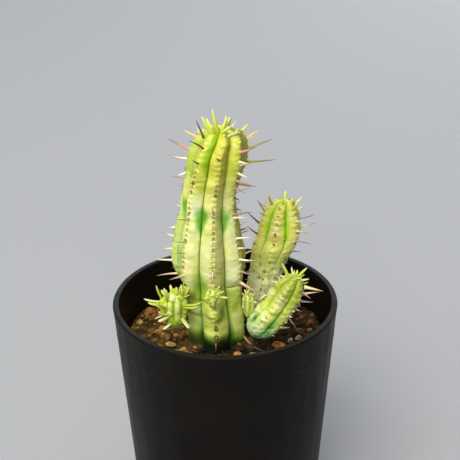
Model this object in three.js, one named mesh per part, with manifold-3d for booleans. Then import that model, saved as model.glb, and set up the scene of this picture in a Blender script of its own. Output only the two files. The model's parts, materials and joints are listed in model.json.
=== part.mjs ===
// Potted euphorbia: a young ribbed succulent in a deep plastic nursery pot.
// Millimetres, +Z up, origin at the middle of the pot's foot, front of the plant towards -Y.
import * as THREE from 'three';
import { mergeVertices } from 'three/addons/utils/BufferGeometryUtils.js';
import Module from 'manifold-3d';

const wasm = await Module();
wasm.setup();

// ---- driving dimensions ---------------------------------------------------
const POT_HEIGHT = 95;          // foot to rim
const POT_RIM_R = 45;           // outer radius at the rim
const POT_TAPER = 0.0782;       // radius lost per mm going down
const POT_WALL = 2.5;
const FLOOR_UNDER = 4.0;        // underside of the pot floor
const FLOOR_TOP = 6.5;
const FOOT_RING_IN = 34.0;      // inner radius of the foot ring
const DRAIN_R = 8.0;
const SOIL_TOP = 76.9;          // mean soil level
const SOIL_BOTTOM = 6.8;
const GAP = 0.3;                // clearance between separate pieces

// ---- main stem: ribbed column, sections by height -------------------------
const STEM_Z = [62, 68, 71, 78, 86, 94, 101, 106, 110, 115, 122, 130, 138, 146, 154, 160, 163.2, 165.6, 167.2, 168.4, 169];
const STEM_X = [-3.6, -3.6, -3.6, -3.5, -3.6, -4.3, -4.8, -5.3, -5.8, -6.2, -6.4, -6.2, -5.7, -4.6, -3, -2, -1.3, -0.7, -0.5, -0.6, -0.6];
const STEM_Y = -1.0;
const STEM_R = [3, 8.2, 10.2, 11.2, 11.5, 11.6, 12.6, 13.6, 14.4, 14.7, 13.8, 12.2, 10.8, 10.7, 11.1, 10.7, 9.6, 8.3, 6.6, 4.6, 2.8];      // crest radius
const STEM_GROOVE = [0.98, 0.86, 0.76, 0.74, 0.74, 0.75, 0.77, 0.79, 0.8, 0.8, 0.8, 0.79, 0.77, 0.76, 0.75, 0.74, 0.73, 0.71, 0.7, 0.7, 0.74]; // groove radius / crest radius
// crest bearing of each rib, degrees from the front (-Y) towards +X
const STEM_CRESTS = {
  A: [-80, -80, -80, -80, -78, -70, -58, -48, -43, -42, -41, -41, -44, -45, -42, -39, -38, -38, -38, -38, -38],
  B: [-3, -3, -3, -3, -1, 0, 1, 2, 4, 6, 8, 10, 10, 8, 5, 3, 6, 10, 10, 10, 10],
  C: [80, 80, 80, 80, 78, 72, 62, 56, 55, 57, 58, 60, 62, 57, 52, 49, 49, 51, 53, 55, 55],
  D: [148, 148, 148, 148, 146, 140, 128, 116, 110, 109, 110, 111, 112, 110, 107, 107, 108, 110, 110, 110, 110],
  E: [218, 218, 218, 218, 216, 208, 192, 176, 166, 162, 161, 161, 162, 161, 159, 158, 159, 161, 161, 161, 161],
  F: [240, 240, 240, 240, 238, 232, 224, 218, 214, 212, 212, 212, 213, 212, 210, 209, 210, 211, 211, 211, 211],
  Z: [260, 260, 260, 260, 260, 260, 262, 265, 266, 266, 266, 266, 266, 265, 263, 262, 262, 262, 262, 262, 262]
};
// the two ribs at the back left run out towards the foot
const STEM_FADE = [0, 0, 0, 0, 0, 0.1, 0.42, 0.75, 0.95, 1, 1, 1, 1, 1, 1, 1, 1, 1, 1, 1, 1];

// spines: rib, height, direction x y z, length, foot radius
const MAIN_SPINES = [
  ["D", 162.6, 0.84, 0.29, 0.47, 6.2, 0.55], ["C", 161.6, 0.79, -0.42, 0.44, 7.9, 0.5],
  ["D", 158.8, 0.93, 0.28, 0.24, 10.2, 0.5], ["C", 158.1, 0.88, -0.47, -0.06, 4.1, 0.45],
  ["D", 153.4, 0.96, 0.26, -0.06, 11.7, 0.5], ["C", 156.5, 0.85, -0.44, 0.28, 5.7, 0.4],
  ["C", 153.1, 0.85, -0.47, -0.25, 4.6, 0.45], ["C", 149.9, 0.87, -0.49, -0.09, 9.1, 0.45],
  ["D", 144.0, 0.92, 0.22, -0.33, 5.9, 0.4], ["C", 146.7, 0.84, -0.46, -0.28, 4.3, 0.4],
  ["C", 142.3, 0.88, -0.3, -0.38, 2.3, 0.4], ["D", 133.3, 0.9, 0.15, -0.41, 2.7, 0.4],
  ["C", 135.3, 0.88, -0.39, 0.29, 8.3, 0.4], ["C", 133.9, 0.92, -0.36, 0.16, 5.1, 0.4],
  ["D", 123.8, 0.94, 0.28, 0.18, 3.3, 0.4], ["D", 122.3, 0.95, 0.28, 0.13, 3.5, 0.35],
  ["C", 125.7, 0.88, -0.41, 0.25, 7.6, 0.42], ["C", 121.7, 0.87, -0.44, 0.24, 5.0, 0.42],
  ["C", 117.2, 0.88, -0.45, 0.15, 7.0, 0.45], ["C", 112.2, 0.9, -0.43, -0.1, 6.0, 0.42],
  ["C", 107.0, 0.83, -0.43, -0.37, 8.2, 0.6], ["C", 79.4, 0.88, -0.42, -0.12, 8.4, 0.4],
  ["Z", 159.5, -0.88, 0.07, 0.47, 9.4, 0.5], ["A", 163.3, -0.54, -0.6, 0.59, 10.3, 0.45],
  ["Z", 156.1, -0.98, 0.08, 0.19, 8.1, 0.45], ["F", 150.6, -0.96, 0.25, 0.12, 11.3, 0.45],
  ["A", 158.0, -0.54, -0.6, 0.59, 4.1, 0.4], ["Z", 150.0, -0.93, 0.07, -0.37, 3.9, 0.42],
  ["Z", 148.4, -1.0, 0.07, 0.04, 5.6, 0.4], ["Z", 144.6, -0.99, 0.07, 0.15, 2.0, 0.35],
  ["F", 132.8, -0.96, 0.23, 0.13, 8.3, 0.35], ["Z", 136.3, -0.93, 0.07, 0.35, 1.8, 0.35],
  ["A", 134.7, -0.7, -0.63, 0.34, 6.5, 0.33], ["Z", 127.1, -1.0, 0.08, -0.03, 2.8, 0.38],
  ["Z", 123.3, -0.96, 0.08, 0.28, 4.8, 0.42], ["A", 126.1, -0.69, -0.64, 0.34, 5.6, 0.3],
  ["A", 121.7, -0.7, -0.63, 0.33, 4.8, 0.28], ["Z", 117.8, -1.0, 0.07, -0.02, 3.8, 0.4],
  ["Z", 112.8, -1.0, 0.07, 0.02, 8.0, 0.45], ["A", 116.3, -0.67, -0.68, 0.28, 6.5, 0.38],
  ["Z", 106.6, -0.99, 0.06, -0.14, 8.9, 0.45], ["A", 112.1, -0.7, -0.7, 0.14, 7.9, 0.5],
  ["A", 149.4, -0.54, -0.68, 0.5, 1.7, 0.35], ["A", 154.7, -0.63, -0.76, -0.19, 2.5, 0.35],
  ["B", 160.1, -0.46, -0.65, 0.61, 3.1, 0.38], ["B", 138.4, 0.54, -0.6, 0.59, 3.3, 0.35],
  ["B", 138.2, -0.19, -0.58, 0.8, 3.5, 0.35], ["A", 137.2, 0.41, -0.48, 0.78, 1.7, 0.35],
  ["B", 114.7, -0.07, -0.55, -0.83, 3.7, 0.42], ["B", 81.2, 0.01, -0.7, -0.71, 2.8, 0.33],
];
// fleshy young spines of the crown: foot x y z, direction, length, radius
const CROWN_SPINES = [
  [-0.1, 0.5, 168.5, 0.45, 0.08, 0.89, 3.9, 0.6], [2.1, 2.0, 167.9, 0.35, 0.09, 0.93, 3.4, 0.5],
  [3.1, 1.0, 167.9, 0.64, 0.08, 0.77, 3.5, 0.5], [4.0, -2.5, 166.4, 0.91, 0.11, 0.4, 2.7, 0.45],
  [-2.29, -4.5, 170.13, -0.183, -0.09, 0.979, 7.81, 0.66],
  [-5.35, -3.5, 169.54, -0.413, -0.174, 0.894, 5.76, 0.68],
  [-8.18, -3.0, 168.22, -0.334, -0.09, 0.938, 5.55, 0.42],
  [-8.25, -1.0, 167.3, -0.686, -0.046, 0.726, 4.37, 0.45],
  [-9.77, 1.0, 164.57, -0.885, 0.09, 0.457, 5.56, 0.6],
  [3.58, -6.0, 168.06, 0.874, -0.149, 0.463, 3.36, 0.42], [-0.1, -4.0, 169.7, 0.389, 0.116, 0.914, 4.33, 0.5],
  [-4.0, -6.0, 169.96, -0.072, -0.397, 0.915, 2.52, 0.7],
  [0.89, -6.3, 169.81, 0.564, -0.517, 0.643, 3.29, 0.6],
];

// ---- rear right branch ------------------------------------------------------
const REAR_Z = [66, 77, 84, 90.8, 95.5, 100.1, 104.7, 109.3, 113.8, 118.3, 122.8, 127.2, 129.4, 130.9, 131.8];
const REAR_X = [12.2, 13.6, 14.6, 15.6, 16.3, 17.1, 18.1, 19.4, 21.1, 22.3, 22.6, 23.0, 23.4, 23.9, 24.2];
const REAR_R = [3.0, 6.2, 6.6, 6.8, 6.7, 6.8, 7.3, 8.2, 9.1, 9.2, 8.4, 7.0, 5.6, 4.2, 2.4];
const REAR_Y = 14;
const REAR_CRESTS = [-78, -14, 48, 108, 168, 226];
const REAR_GROOVE = [0.95, 0.95, 0.95, 0.95, 0.95, 0.95, 0.94, 0.93, 0.9, 0.82, 0.76, 0.74, 0.74, 0.74, 0.74];
const REAR_SPINES = [
  [0, 130.5, -0.32, -0.08, 0.95, 4.2, 0.45],
  [0, 127.4, -0.47, -0.15, 0.87, 6.8, 0.4],
  [0, 122.4, -0.65, -0.17, 0.74, 8.2, 0.4],
  [0, 117.9, -0.72, -0.17, 0.68, 5.9, 0.4],
  [0, 114.4, 0.45, -0.3, -0.84, 2.1, 0.3],
  [1, 131.3, 0.05, -0.38, 0.92, 3.9, 0.5],
  [2, 131.2, 0.18, -0.17, 0.97, 2.5, 0.45],
  [2, 130.3, 0.26, -0.17, 0.95, 3.0, 0.4],
  [3, 122.4, 0.96, 0.26, 0.09, 6.1, 0.4],
  [2, 124.6, 0.93, -0.3, 0.21, 2.6, 0.4],
  [3, 118.1, 0.95, 0.26, 0.17, 6.4, 0.42],
  [2, 120.6, 0.95, -0.32, -0.08, 5.0, 0.42],
  [2, 116.3, 0.96, -0.25, -0.13, 6.6, 0.35],
  [3, 110.3, 0.66, 0.24, -0.71, 2.2, 0.35],
  [3, 107.6, 0.95, 0.22, -0.23, 5.5, 0.35],
  [3, 105.5, 0.84, 0.23, -0.49, 2.9, 0.35],
  [1, 120.0, -0.37, -0.6, 0.71, 2.5, 0.35],
];

// ---- front right pup: leaning ribbed offset ---------------------------------
const PUP_A = [10.5, -10.2, 83.9];   // lower end of the axis
const PUP_B = [28.6, -10.2, 110.6];  // tip of the axis
const PUP_T = [0, 0.03, 0.08, 0.15, 0.25, 0.4, 0.55, 0.7, 0.8, 0.88, 0.94, 0.98, 1];
const PUP_R = [0, 2.8, 4.6, 5.8, 6.4, 6.6, 6.6, 6.3, 5.7, 4.8, 3.7, 2.3, 0];
const PUP_BOW = 1.4;                 // sag of the axis towards the lower right
const PUP_CRESTS = [-99, -28, 43, 118, 200];
const PUP_GROOVE = [0.96, 0.95, 0.94, 0.93, 0.9, 0.84, 0.8, 0.76, 0.74, 0.73, 0.72, 0.7, 0.7];
const PUP_SPINES = [
  [24.1, -10.0, 111.5, -0.41, -0.1, 0.91, 5.0, 0.5],
  [27.0, -10.0, 111.1, -0.03, -0.23, 0.97, 2.2, 0.45],
  [29.5, -10.0, 111.0, 0.62, -0.13, 0.77, 3.8, 0.5],
  [30.3, -10.0, 108.3, 0.95, -0.19, 0.26, 2.6, 0.4],
  [32.6, -10.0, 104.8, 0.97, -0.08, -0.22, 6.1, 0.6],
  [32.6, -10.0, 102.4, 0.98, -0.11, 0.17, 4.6, 0.4],
  [29.9, -10.0, 103.0, 0.79, -0.1, -0.6, 4.8, 0.6],
  [31.2, -10.0, 98.7, 0.99, -0.13, -0.01, 3.7, 0.4],
  [28.9, -10.0, 98.5, 0.32, -0.22, -0.92, 2.3, 0.5],
  [27.7, -10.0, 95.4, 0.89, -0.2, -0.41, 2.5, 0.45],
  [25.8, -10.0, 90.1, 0.6, -0.13, -0.79, 3.8, 0.35],
  [24.0, -10.0, 86.9, 0.93, -0.32, 0.17, 1.6, 0.4],
  [22.8, -10.0, 109.9, -0.82, -0.23, 0.52, 2.2, 0.4],
  [20.3, -10.0, 107.2, -0.9, -0.16, 0.4, 3.0, 0.45],
  [17.6, -10.0, 102.9, -0.26, -0.13, 0.96, 3.9, 0.4],
  [16.2, -10.0, 101.5, -0.31, -0.15, 0.94, 3.4, 0.35],
  [14.9, -10.0, 101.0, -0.78, -0.2, -0.59, 2.5, 0.5],
];

// ---- helpers ----------------------------------------------------------------
const V = (x, y, z) => new THREE.Vector3(x, y, z);
const rad = (d) => (d * Math.PI) / 180;

function lerpTable(xs, ys, x) {
  if (x <= xs[0]) return ys[0];
  for (let i = 1; i < xs.length; i++) {
    if (x <= xs[i]) {
      const t = (x - xs[i - 1]) / (xs[i] - xs[i - 1]);
      return ys[i - 1] + t * (ys[i] - ys[i - 1]);
    }
  }
  return ys[ys.length - 1];
}

let seed = 7;
function rnd() {
  seed = (seed * 1103515245 + 12345) % 2147483648;
  return seed / 2147483648;
}

// indexed geometry -> solid
function solidOf(points, tris) {
  const mesh = new wasm.Mesh({
    numProp: 3,
    vertProperties: new Float32Array(points.flatMap((p) => [p.x, p.y, p.z])),
    triVerts: new Uint32Array(tris.flat()),
  });
  return new wasm.Manifold(mesh);
}

function solidFromGeometry(geometry) {
  const g = geometry.clone();
  g.deleteAttribute('normal');
  g.deleteAttribute('uv');
  const m = mergeVertices(g, 1e-4);
  return new wasm.Manifold(
    new wasm.Mesh({
      numProp: 3,
      vertProperties: new Float32Array(m.attributes.position.array),
      triVerts: new Uint32Array(m.index.array),
    }),
  );
}

function geometryOf(solid) {
  const m = solid.getMesh();
  const n = m.vertProperties.length / m.numProp;
  const pos = new Float32Array(n * 3);
  for (let i = 0; i < n; i++) {
    for (let k = 0; k < 3; k++) pos[3 * i + k] = m.vertProperties[i * m.numProp + k];
  }
  const g = new THREE.BufferGeometry();
  g.setAttribute('position', new THREE.BufferAttribute(pos, 3));
  g.setIndex(Array.from(m.triVerts));
  g.computeVertexNormals();
  return g;
}

// skin over closed rings, with a centre point at each end
function loft(rings, first, last) {
  const n = rings[0].length;
  const pts = [];
  for (const r of rings) pts.push(...r);
  const a = pts.push(first) - 1;
  const b = pts.push(last) - 1;
  const tris = [];
  for (let i = 0; i + 1 < rings.length; i++) {
    for (let j = 0; j < n; j++) {
      const k = (j + 1) % n;
      tris.push([i * n + j, i * n + k, (i + 1) * n + k]);
      tris.push([i * n + j, (i + 1) * n + k, (i + 1) * n + j]);
    }
  }
  const top = (rings.length - 1) * n;
  for (let j = 0; j < n; j++) {
    const k = (j + 1) % n;
    tris.push([a, k, j]);
    tris.push([b, top + j, top + k]);
  }
  return solidOf(pts, tris);
}

// star section: crest, flank, groove, flank for each rib.
// full: crest radius of an undiminished rib; fade: 1 for a whole rib, 0 for one sunk to the groove
function ribSection(crests, full, fade, groove, grow) {
  const out = [];
  const n = crests.length;
  const p = (t, r) => [Math.sin(t) * r, -Math.cos(t) * r];
  for (let i = 0; i < n; i++) {
    const j = (i + 1) % n;
    const a = rad(crests[i]);
    const b = rad(crests[j] + (j === 0 ? 360 : 0));
    const ra = full * (groove + 0.02 + (0.98 - groove) * fade[i]) + grow;
    const rb = full * (groove + 0.02 + (0.98 - groove) * fade[j]) + grow;
    const w = 0.5 + 0.38 * (fade[i] - fade[j]);
    const A = p(a, ra);
    const B = p(b, rb);
    const G = p(a + (b - a) * w, full * groove + grow);
    const bulge = 1.035;
    out.push(A);
    out.push([((A[0] + G[0]) / 2) * bulge, ((A[1] + G[1]) / 2) * bulge]);
    out.push(G);
    out.push([((B[0] + G[0]) / 2) * bulge, ((B[1] + G[1]) / 2) * bulge]);
  }
  return out;
}

// the biggest body only: slivers left by a cut are dropped
function whole(solid) {
  const bits = solid.decompose();
  bits.sort((p, q) => q.volume() - p.volume());
  return bits[0];
}

function spine(foot, dir, length, radius, sink = 1.0) {
  const d = dir.clone().normalize();
  const side = new THREE.Vector3().crossVectors(d, Math.abs(d.z) > 0.8 ? V(1, 0, 0) : V(0, 0, 1)).normalize();
  const up = new THREE.Vector3().crossVectors(side, d).normalize();
  const base = foot.clone().addScaledVector(d, -sink);
  const ring = (at, r) =>
    [0, 1, 2].map((i) => {
      const t = (i * 2 * Math.PI) / 3;
      return at
        .clone()
        .addScaledVector(side, Math.cos(t) * r)
        .addScaledVector(up, -Math.sin(t) * r);
    });
  return loft([ring(base, radius * 1.25)], base.clone(), foot.clone().addScaledVector(d, length));
}

// fleshy finger-like leaf with a blunt point
function finger(foot, tip, radius) {
  const d = tip.clone().sub(foot).normalize();
  const side = new THREE.Vector3().crossVectors(d, Math.abs(d.z) > 0.8 ? V(1, 0, 0) : V(0, 0, 1)).normalize();
  const up = new THREE.Vector3().crossVectors(side, d).normalize();
  const ring = (t, r) => {
    const at = foot.clone().lerp(tip, t);
    return [0, 1, 2, 3, 4].map((i) => {
      const a = (i * 2 * Math.PI) / 5;
      return at
        .clone()
        .addScaledVector(side, Math.cos(a) * r)
        .addScaledVector(up, -Math.sin(a) * r * 0.8);
    });
  };
  return loft([ring(0, radius * 0.8), ring(0.45, radius), ring(0.82, radius * 0.7)], foot.clone(), tip.clone());
}

function ellipsoid(c, rx, ry, rz) {
  const g = new THREE.IcosahedronGeometry(1, 1);
  g.scale(rx, ry, rz);
  g.translate(c[0], c[1], c[2]);
  return solidFromGeometry(g);
}

// ---- main stem ----------------------------------------------------------------
const RIBS = Object.keys(STEM_CRESTS);

function stemFade(rib, z) {
  // the rib at the right rear stands out a little under the crown
  if (rib === 'D') return 1 + lerpTable([140, 148, 152, 158, 164, 167], [0, 0.42, 0.65, 0.5, 0.3, 0], z);
  return rib === 'F' || rib === 'Z' ? lerpTable(STEM_Z, STEM_FADE, z) : 1;
}

function stemCrest(rib, z) {
  const a = rad(lerpTable(STEM_Z, STEM_CRESTS[rib], z));
  const g = lerpTable(STEM_Z, STEM_GROOVE, z);
  const r = lerpTable(STEM_Z, STEM_R, z) * (g + 0.02 + (0.98 - g) * stemFade(rib, z));
  return V(lerpTable(STEM_Z, STEM_X, z) + Math.sin(a) * r, STEM_Y - Math.cos(a) * r, z);
}

function stemBody(grow) {
  const rings = [];
  const heights = [...STEM_Z];
  for (const z of [74, 82, 90, 97.5, 118, 126, 134, 142, 150, 157]) heights.push(z);
  heights.sort((p, q) => p - q);
  for (const z of heights) {
    const sec = ribSection(
      RIBS.map((k) => lerpTable(STEM_Z, STEM_CRESTS[k], z)),
      lerpTable(STEM_Z, STEM_R, z),
      RIBS.map((k) => stemFade(k, z)),
      lerpTable(STEM_Z, STEM_GROOVE, z),
      grow,
    );
    const x = lerpTable(STEM_Z, STEM_X, z);
    const lift = z === heights[0] ? -grow : z > 167 ? grow : 0;
    rings.push(sec.map((p) => V(x + p[0], STEM_Y + p[1], z + lift)));
  }
  return loft(rings, V(STEM_X[0], STEM_Y, STEM_Z[0] - 1 - grow), V(-0.6, STEM_Y, 169.42 + grow));
}

function mainStem() {
  const parts = [stemBody(0)];
  for (const [rib, z, dx, dy, dz, len, r] of MAIN_SPINES) {
    if (len < 2.6) continue;
    parts.push(spine(stemCrest(rib, z), V(dx, dy, dz), len, r));
  }
  for (const [x, y, z, dx, dy, dz, len, r] of CROWN_SPINES) {
    parts.push(spine(V(x, y, z), V(dx, dy, dz), len, r, 2.6));
  }
  // spines on the ribs of the far side
  ['D', 'E', 'F'].forEach((rib, n) => {
    for (let z = 84 + 3 * n; z < 160; z += 9) {
      if (rib === 'F' && z < 108) continue;
      const foot = stemCrest(rib, z);
      const a = rad(lerpTable(STEM_Z, STEM_CRESTS[rib], z));
      parts.push(spine(foot, V(Math.sin(a), -Math.cos(a), 0.15), 5.2, 0.42));
    }
  });
  return wasm.Manifold.union(parts);
}

// ---- rear branch -----------------------------------------------------------------
function rearBody(grow) {
  const rings = REAR_Z.map((z, i) => {
    const sec = ribSection(REAR_CRESTS, REAR_R[i], REAR_CRESTS.map(() => 1), REAR_GROOVE[i], grow);
    const lift = i === 0 ? -grow : i > REAR_Z.length - 3 ? grow : 0;
    return sec.map((p) => V(REAR_X[i] + p[0], REAR_Y + p[1], z + lift));
  });
  return loft(rings, V(REAR_X[0], REAR_Y, REAR_Z[0] - 1 - grow), V(24.3, REAR_Y, 132.3 + grow));
}

function rearBranch() {
  const parts = [rearBody(0)];
  const crest = (k, z) => {
    const a = rad(REAR_CRESTS[k]);
    const r = lerpTable(REAR_Z, REAR_R, z);
    return V(lerpTable(REAR_Z, REAR_X, z) + Math.sin(a) * r, REAR_Y - Math.cos(a) * r, z);
  };
  for (const [k, z, dx, dy, dz, len, r] of REAR_SPINES) {
    if (len < 2.4) continue;
    parts.push(spine(crest(k, z), V(dx, dy, dz), len, r));
  }
  for (const k of [4, 5]) {
    for (let z = 86 + 4 * (k - 4); z < 126; z += 9) {
      const a = rad(REAR_CRESTS[k]);
      parts.push(spine(crest(k, z), V(Math.sin(a), -Math.cos(a), 0.1), 4.4, 0.4));
    }
  }
  return wasm.Manifold.union(parts);
}

// ---- leaning pup -------------------------------------------------------------------
const pupA = V(...PUP_A);
const pupB = V(...PUP_B);
const pupAxis = pupB.clone().sub(pupA).normalize();
const pupFront = V(0, -1, 0).addScaledVector(pupAxis, pupAxis.y).normalize();
const pupSide = new THREE.Vector3().crossVectors(pupAxis, pupFront).normalize();

function pupCentre(t) {
  return pupA
    .clone()
    .lerp(pupB, t)
    .addScaledVector(pupSide, PUP_BOW * Math.sin(Math.PI * t));
}

function pupBody(grow) {
  const rings = [];
  for (let i = 1; i + 1 < PUP_T.length; i++) {
    const c = pupCentre(PUP_T[i]);
    const sec = ribSection(PUP_CRESTS, PUP_R[i], PUP_CRESTS.map(() => 1), PUP_GROOVE[i], grow);
    rings.push(sec.map((p) => c.clone().addScaledVector(pupSide, p[0]).addScaledVector(pupFront, -p[1])));
  }
  return loft(
    rings,
    pupA.clone().addScaledVector(pupAxis, -grow),
    pupB.clone().addScaledVector(pupAxis, grow),
  );
}

function pup(keepOut) {
  const parts = [pupBody(0)];
  for (const [x, y, z, dx, dy, dz, len, r] of PUP_SPINES) {
    if (len < 2.3) continue;
    parts.push(spine(V(x, y, z), V(dx, dy, dz), len, r, 2.4));
  }
  return wasm.Manifold.union(parts).subtract(keepOut);
}

// ---- leafy offset, front left ----------------------------------------------------------
function leafyOffset(keepOut) {
  const low = V(-19.3, -9.9, 88.5);
  const high = V(-18.9, -10.7, 103.8);
  const body = loft(
    [
      [0.03, 1.9],
      [0.1, 3.1],
      [0.2, 3.6],
      [0.35, 3.8],
      [0.55, 4.0],
      [0.72, 3.9],
      [0.85, 3.2],
      [0.95, 2.0],
    ].map(([t, r]) => {
      const c = low.clone().lerp(high, t);
      return Array.from({ length: 14 }, (_, i) => {
        const a = rad(7) + (i * Math.PI) / 7;
        const q = r * (i % 2 ? 0.9 : 1.03);
        return V(c.x + Math.sin(a) * q, c.y - Math.cos(a) * q, c.z);
      });
    }),
    low,
    high,
  );
  const neck = loft(
    [
      [V(-10.8, -6.0, 93.0), 2.0],
      [V(-13.4, -7.5, 92.9), 2.3],
      [V(-16.4, -9.0, 93.8), 2.5],
      [V(-18.2, -9.9, 95.4), 2.4],
    ].map(([c, r]) =>
      Array.from({ length: 8 }, (_, i) => {
        const a = (i * Math.PI) / 4;
        return V(c.x + Math.sin(a) * r * 0.5, c.y - Math.sin(a) * r * 0.86, c.z + Math.cos(a) * r);
      }),
    ),
    V(-10.6, -5.9, 93.0),
    V(-18.4, -10.0, 95.5),
  );
  // swollen feet of the leaves
  const lobes = [
    [-24.2, -11.2, 100.2, 1.7],
    [-24.2, -12.0, 96.6, 1.45],
    [-23.3, -12.2, 98.6, 1.75],
    [-20.46, -12.5, 102.3, 1.75],
    [-16.2, -11.5, 100.0, 1.6],
    [-18.06, -12.5, 92.0, 1.35],
    [-21.3, -11.8, 92.3, 1.6],
    [-21.6, -12.9, 96.4, 1.5],
    [-16.2, -12.0, 96.4, 1.4],
    [-17.4, -12.2, 102.6, 1.5],
    [-22.6, -10.6, 102.0, 1.5],
    [-20.0, -9.0, 102.4, 1.8],
    [-16.6, -9.6, 102.2, 1.4],
    [-22.6, -8.0, 99.2, 1.6],
    [-20.8, -6.9, 96.0, 1.5],
    [-17.6, -6.9, 98.0, 1.4],
  ].map(([x, y, z, r]) => ellipsoid([x, y, z], r * 0.92, r * 0.92, r * 1.2));
  // foot, tip and half width of each leaf
  const leaves = [
    [-24.4, -11.3, 101.0, -26.69, -12.0, 107.74, 0.95],
    [-23.0, -12.0, 101.6, -23.6, -13.0, 107.2, 0.62],
    [-21.8, -12.6, 102.0, -22.86, -14.0, 107.1, 0.6],
    [-19.4, -12.0, 102.9, -20.71, -12.5, 107.4, 0.6],
    [-18.7, -11.8, 103.0, -19.03, -11.0, 106.6, 0.55],
    [-18.0, -12.4, 102.8, -17.47, -12.5, 107.5, 0.8],
    [-17.0, -12.6, 102.8, -16.16, -14.0, 107.0, 0.6],
    [-15.9, -11.7, 102.4, -14.07, -11.5, 106.6, 0.85],
    [-16.0, -12.4, 102.6, -13.8, -14.5, 104.9, 0.5],
    [-15.9, -12.8, 99.6, -9.15, -17.0, 103.1, 0.85],
    [-15.8, -13.0, 98.8, -10.8, -17.2, 101.1, 0.8],
    [-25.0, -11.3, 100.3, -31.56, -12.5, 102.3, 0.75],
    [-24.6, -12.2, 99.6, -29.96, -14.0, 101.4, 0.85],
    [-22.4, -13.0, 97.3, -27.08, -15.6, 101.4, 0.85],
    [-22.4, -12.9, 98.7, -26.79, -14.6, 101.9, 0.7],
    [-22.1, -13.0, 95.6, -26.0, -15.2, 98.0, 0.95],
    [-23.7, -12.2, 95.5, -27.45, -13.5, 93.9, 0.45],
    [-21.9, -12.9, 94.9, -26.21, -16.0, 94.1, 0.85],
    [-21.0, -12.0, 91.4, -24.39, -15.5, 90.2, 0.72],
    [-17.1, -12.9, 93.6, -14.21, -16.8, 91.3, 0.9],
    [-20.5, -9.5, 102.6, -21.5, -5.6, 104.6, 0.6],
    [-22.8, -8.6, 100.6, -25.2, -5.0, 102.0, 0.7],
    [-17.4, -8.0, 101.0, -17.2, -4.4, 104.0, 0.6],
    [-21.6, -6.6, 97.0, -23.2, -2.8, 99.0, 0.7],
  ].map(([x, y, z, X, Y, Z, r]) => {
    const foot = V(x, y, z);
    const tip = V(X, Y, Z);
    const d = tip.clone().sub(foot).normalize();
    return finger(foot.addScaledVector(d, -0.9), tip, r);
  });
  return wasm.Manifold.union([body, neck, ...lobes, ...leaves]).subtract(keepOut);
}

// ---- small buds ----------------------------------------------------------------------------
function bud(centre, half, leaves, keepOut) {
  const parts = [ellipsoid(centre, ...half)];
  for (const [X, Y, Z, r] of leaves) {
    const c = V(centre[0], centre[1], centre[2] + half[2] * 0.25);
    const tip = V(X, Y, Z);
    parts.push(finger(c.clone().lerp(tip, 0.22), tip, r));
  }
  return wasm.Manifold.union(parts).subtract(keepOut);
}

// ---- pot -------------------------------------------------------------------------------------
function pot() {
  const out = (z) => POT_RIM_R - POT_TAPER * (POT_HEIGHT - z);
  const profile = [
    [DRAIN_R, FLOOR_UNDER],
    [FOOT_RING_IN - 0.8, FLOOR_UNDER],
    [FOOT_RING_IN, FLOOR_UNDER - 0.8],
    [FOOT_RING_IN + 0.6, 0],
    [out(0) - 0.8, 0],
    [out(0.8), 0.8],
    [out(53.2), 53.2],
    [out(53.6) + 0.12, 53.6],
    [out(54.0), 54.0],
    [out(65.6), 65.6],
    [out(66.0) + 0.12, 66.0],
    [out(66.4), 66.4],
    [out(81.4), 81.4],
    [out(82.0) + 0.14, 82.0],
    [out(82.6), 82.6],
    [out(94.0), 94.0],
    [POT_RIM_R, 94.3],
    [POT_RIM_R - 0.25, 94.8],
    [POT_RIM_R - 0.8, POT_HEIGHT],
    [POT_RIM_R - 2.0, POT_HEIGHT],
    [POT_RIM_R - POT_WALL, 94.5],
    [out(FLOOR_TOP + 1) - POT_WALL, FLOOR_TOP + 1],
    [out(FLOOR_TOP + 1) - POT_WALL - 1, FLOOR_TOP],
    [DRAIN_R, FLOOR_TOP],
    [DRAIN_R, FLOOR_UNDER],
  ].map(([r, z]) => new THREE.Vector2(r, z));
  const g = new THREE.LatheGeometry(profile, 64);
  g.rotateX(Math.PI / 2);
  return solidFromGeometry(g);
}

// ---- soil --------------------------------------------------------------------------------------
function soil(keepOut) {
  const n = 40;
  const wall = (z) => POT_RIM_R - POT_TAPER * (POT_HEIGHT - z) - POT_WALL - GAP;
  const height = (x, y) =>
    SOIL_TOP + 0.35 * Math.sin(x * 0.31 + 1.2) * Math.cos(y * 0.27) + 0.25 * Math.sin(0.55 * x - 0.4 * y);
  const ring = (r, z) =>
    Array.from({ length: n }, (_, i) => {
      const a = (i * 2 * Math.PI) / n;
      const x = Math.cos(a) * r;
      const y = Math.sin(a) * r;
      return V(x, y, z === null ? height(x, y) : z);
    });
  const rings = [
    ring(wall(SOIL_BOTTOM + 1.5) - 1.4, SOIL_BOTTOM),
    ring(wall(SOIL_BOTTOM + 1.5), SOIL_BOTTOM + 1.5),
    ring(wall(SOIL_TOP - 1.6), SOIL_TOP - 1.6),
    ring(wall(SOIL_TOP) - 0.5, null),
    ring(34, null),
    ring(26, null),
    ring(17, null),
    ring(8, null),
  ];
  return loft(rings, V(0, 0, SOIL_BOTTOM), V(0, 0, height(0, 0))).subtract(keepOut);
}

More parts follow.
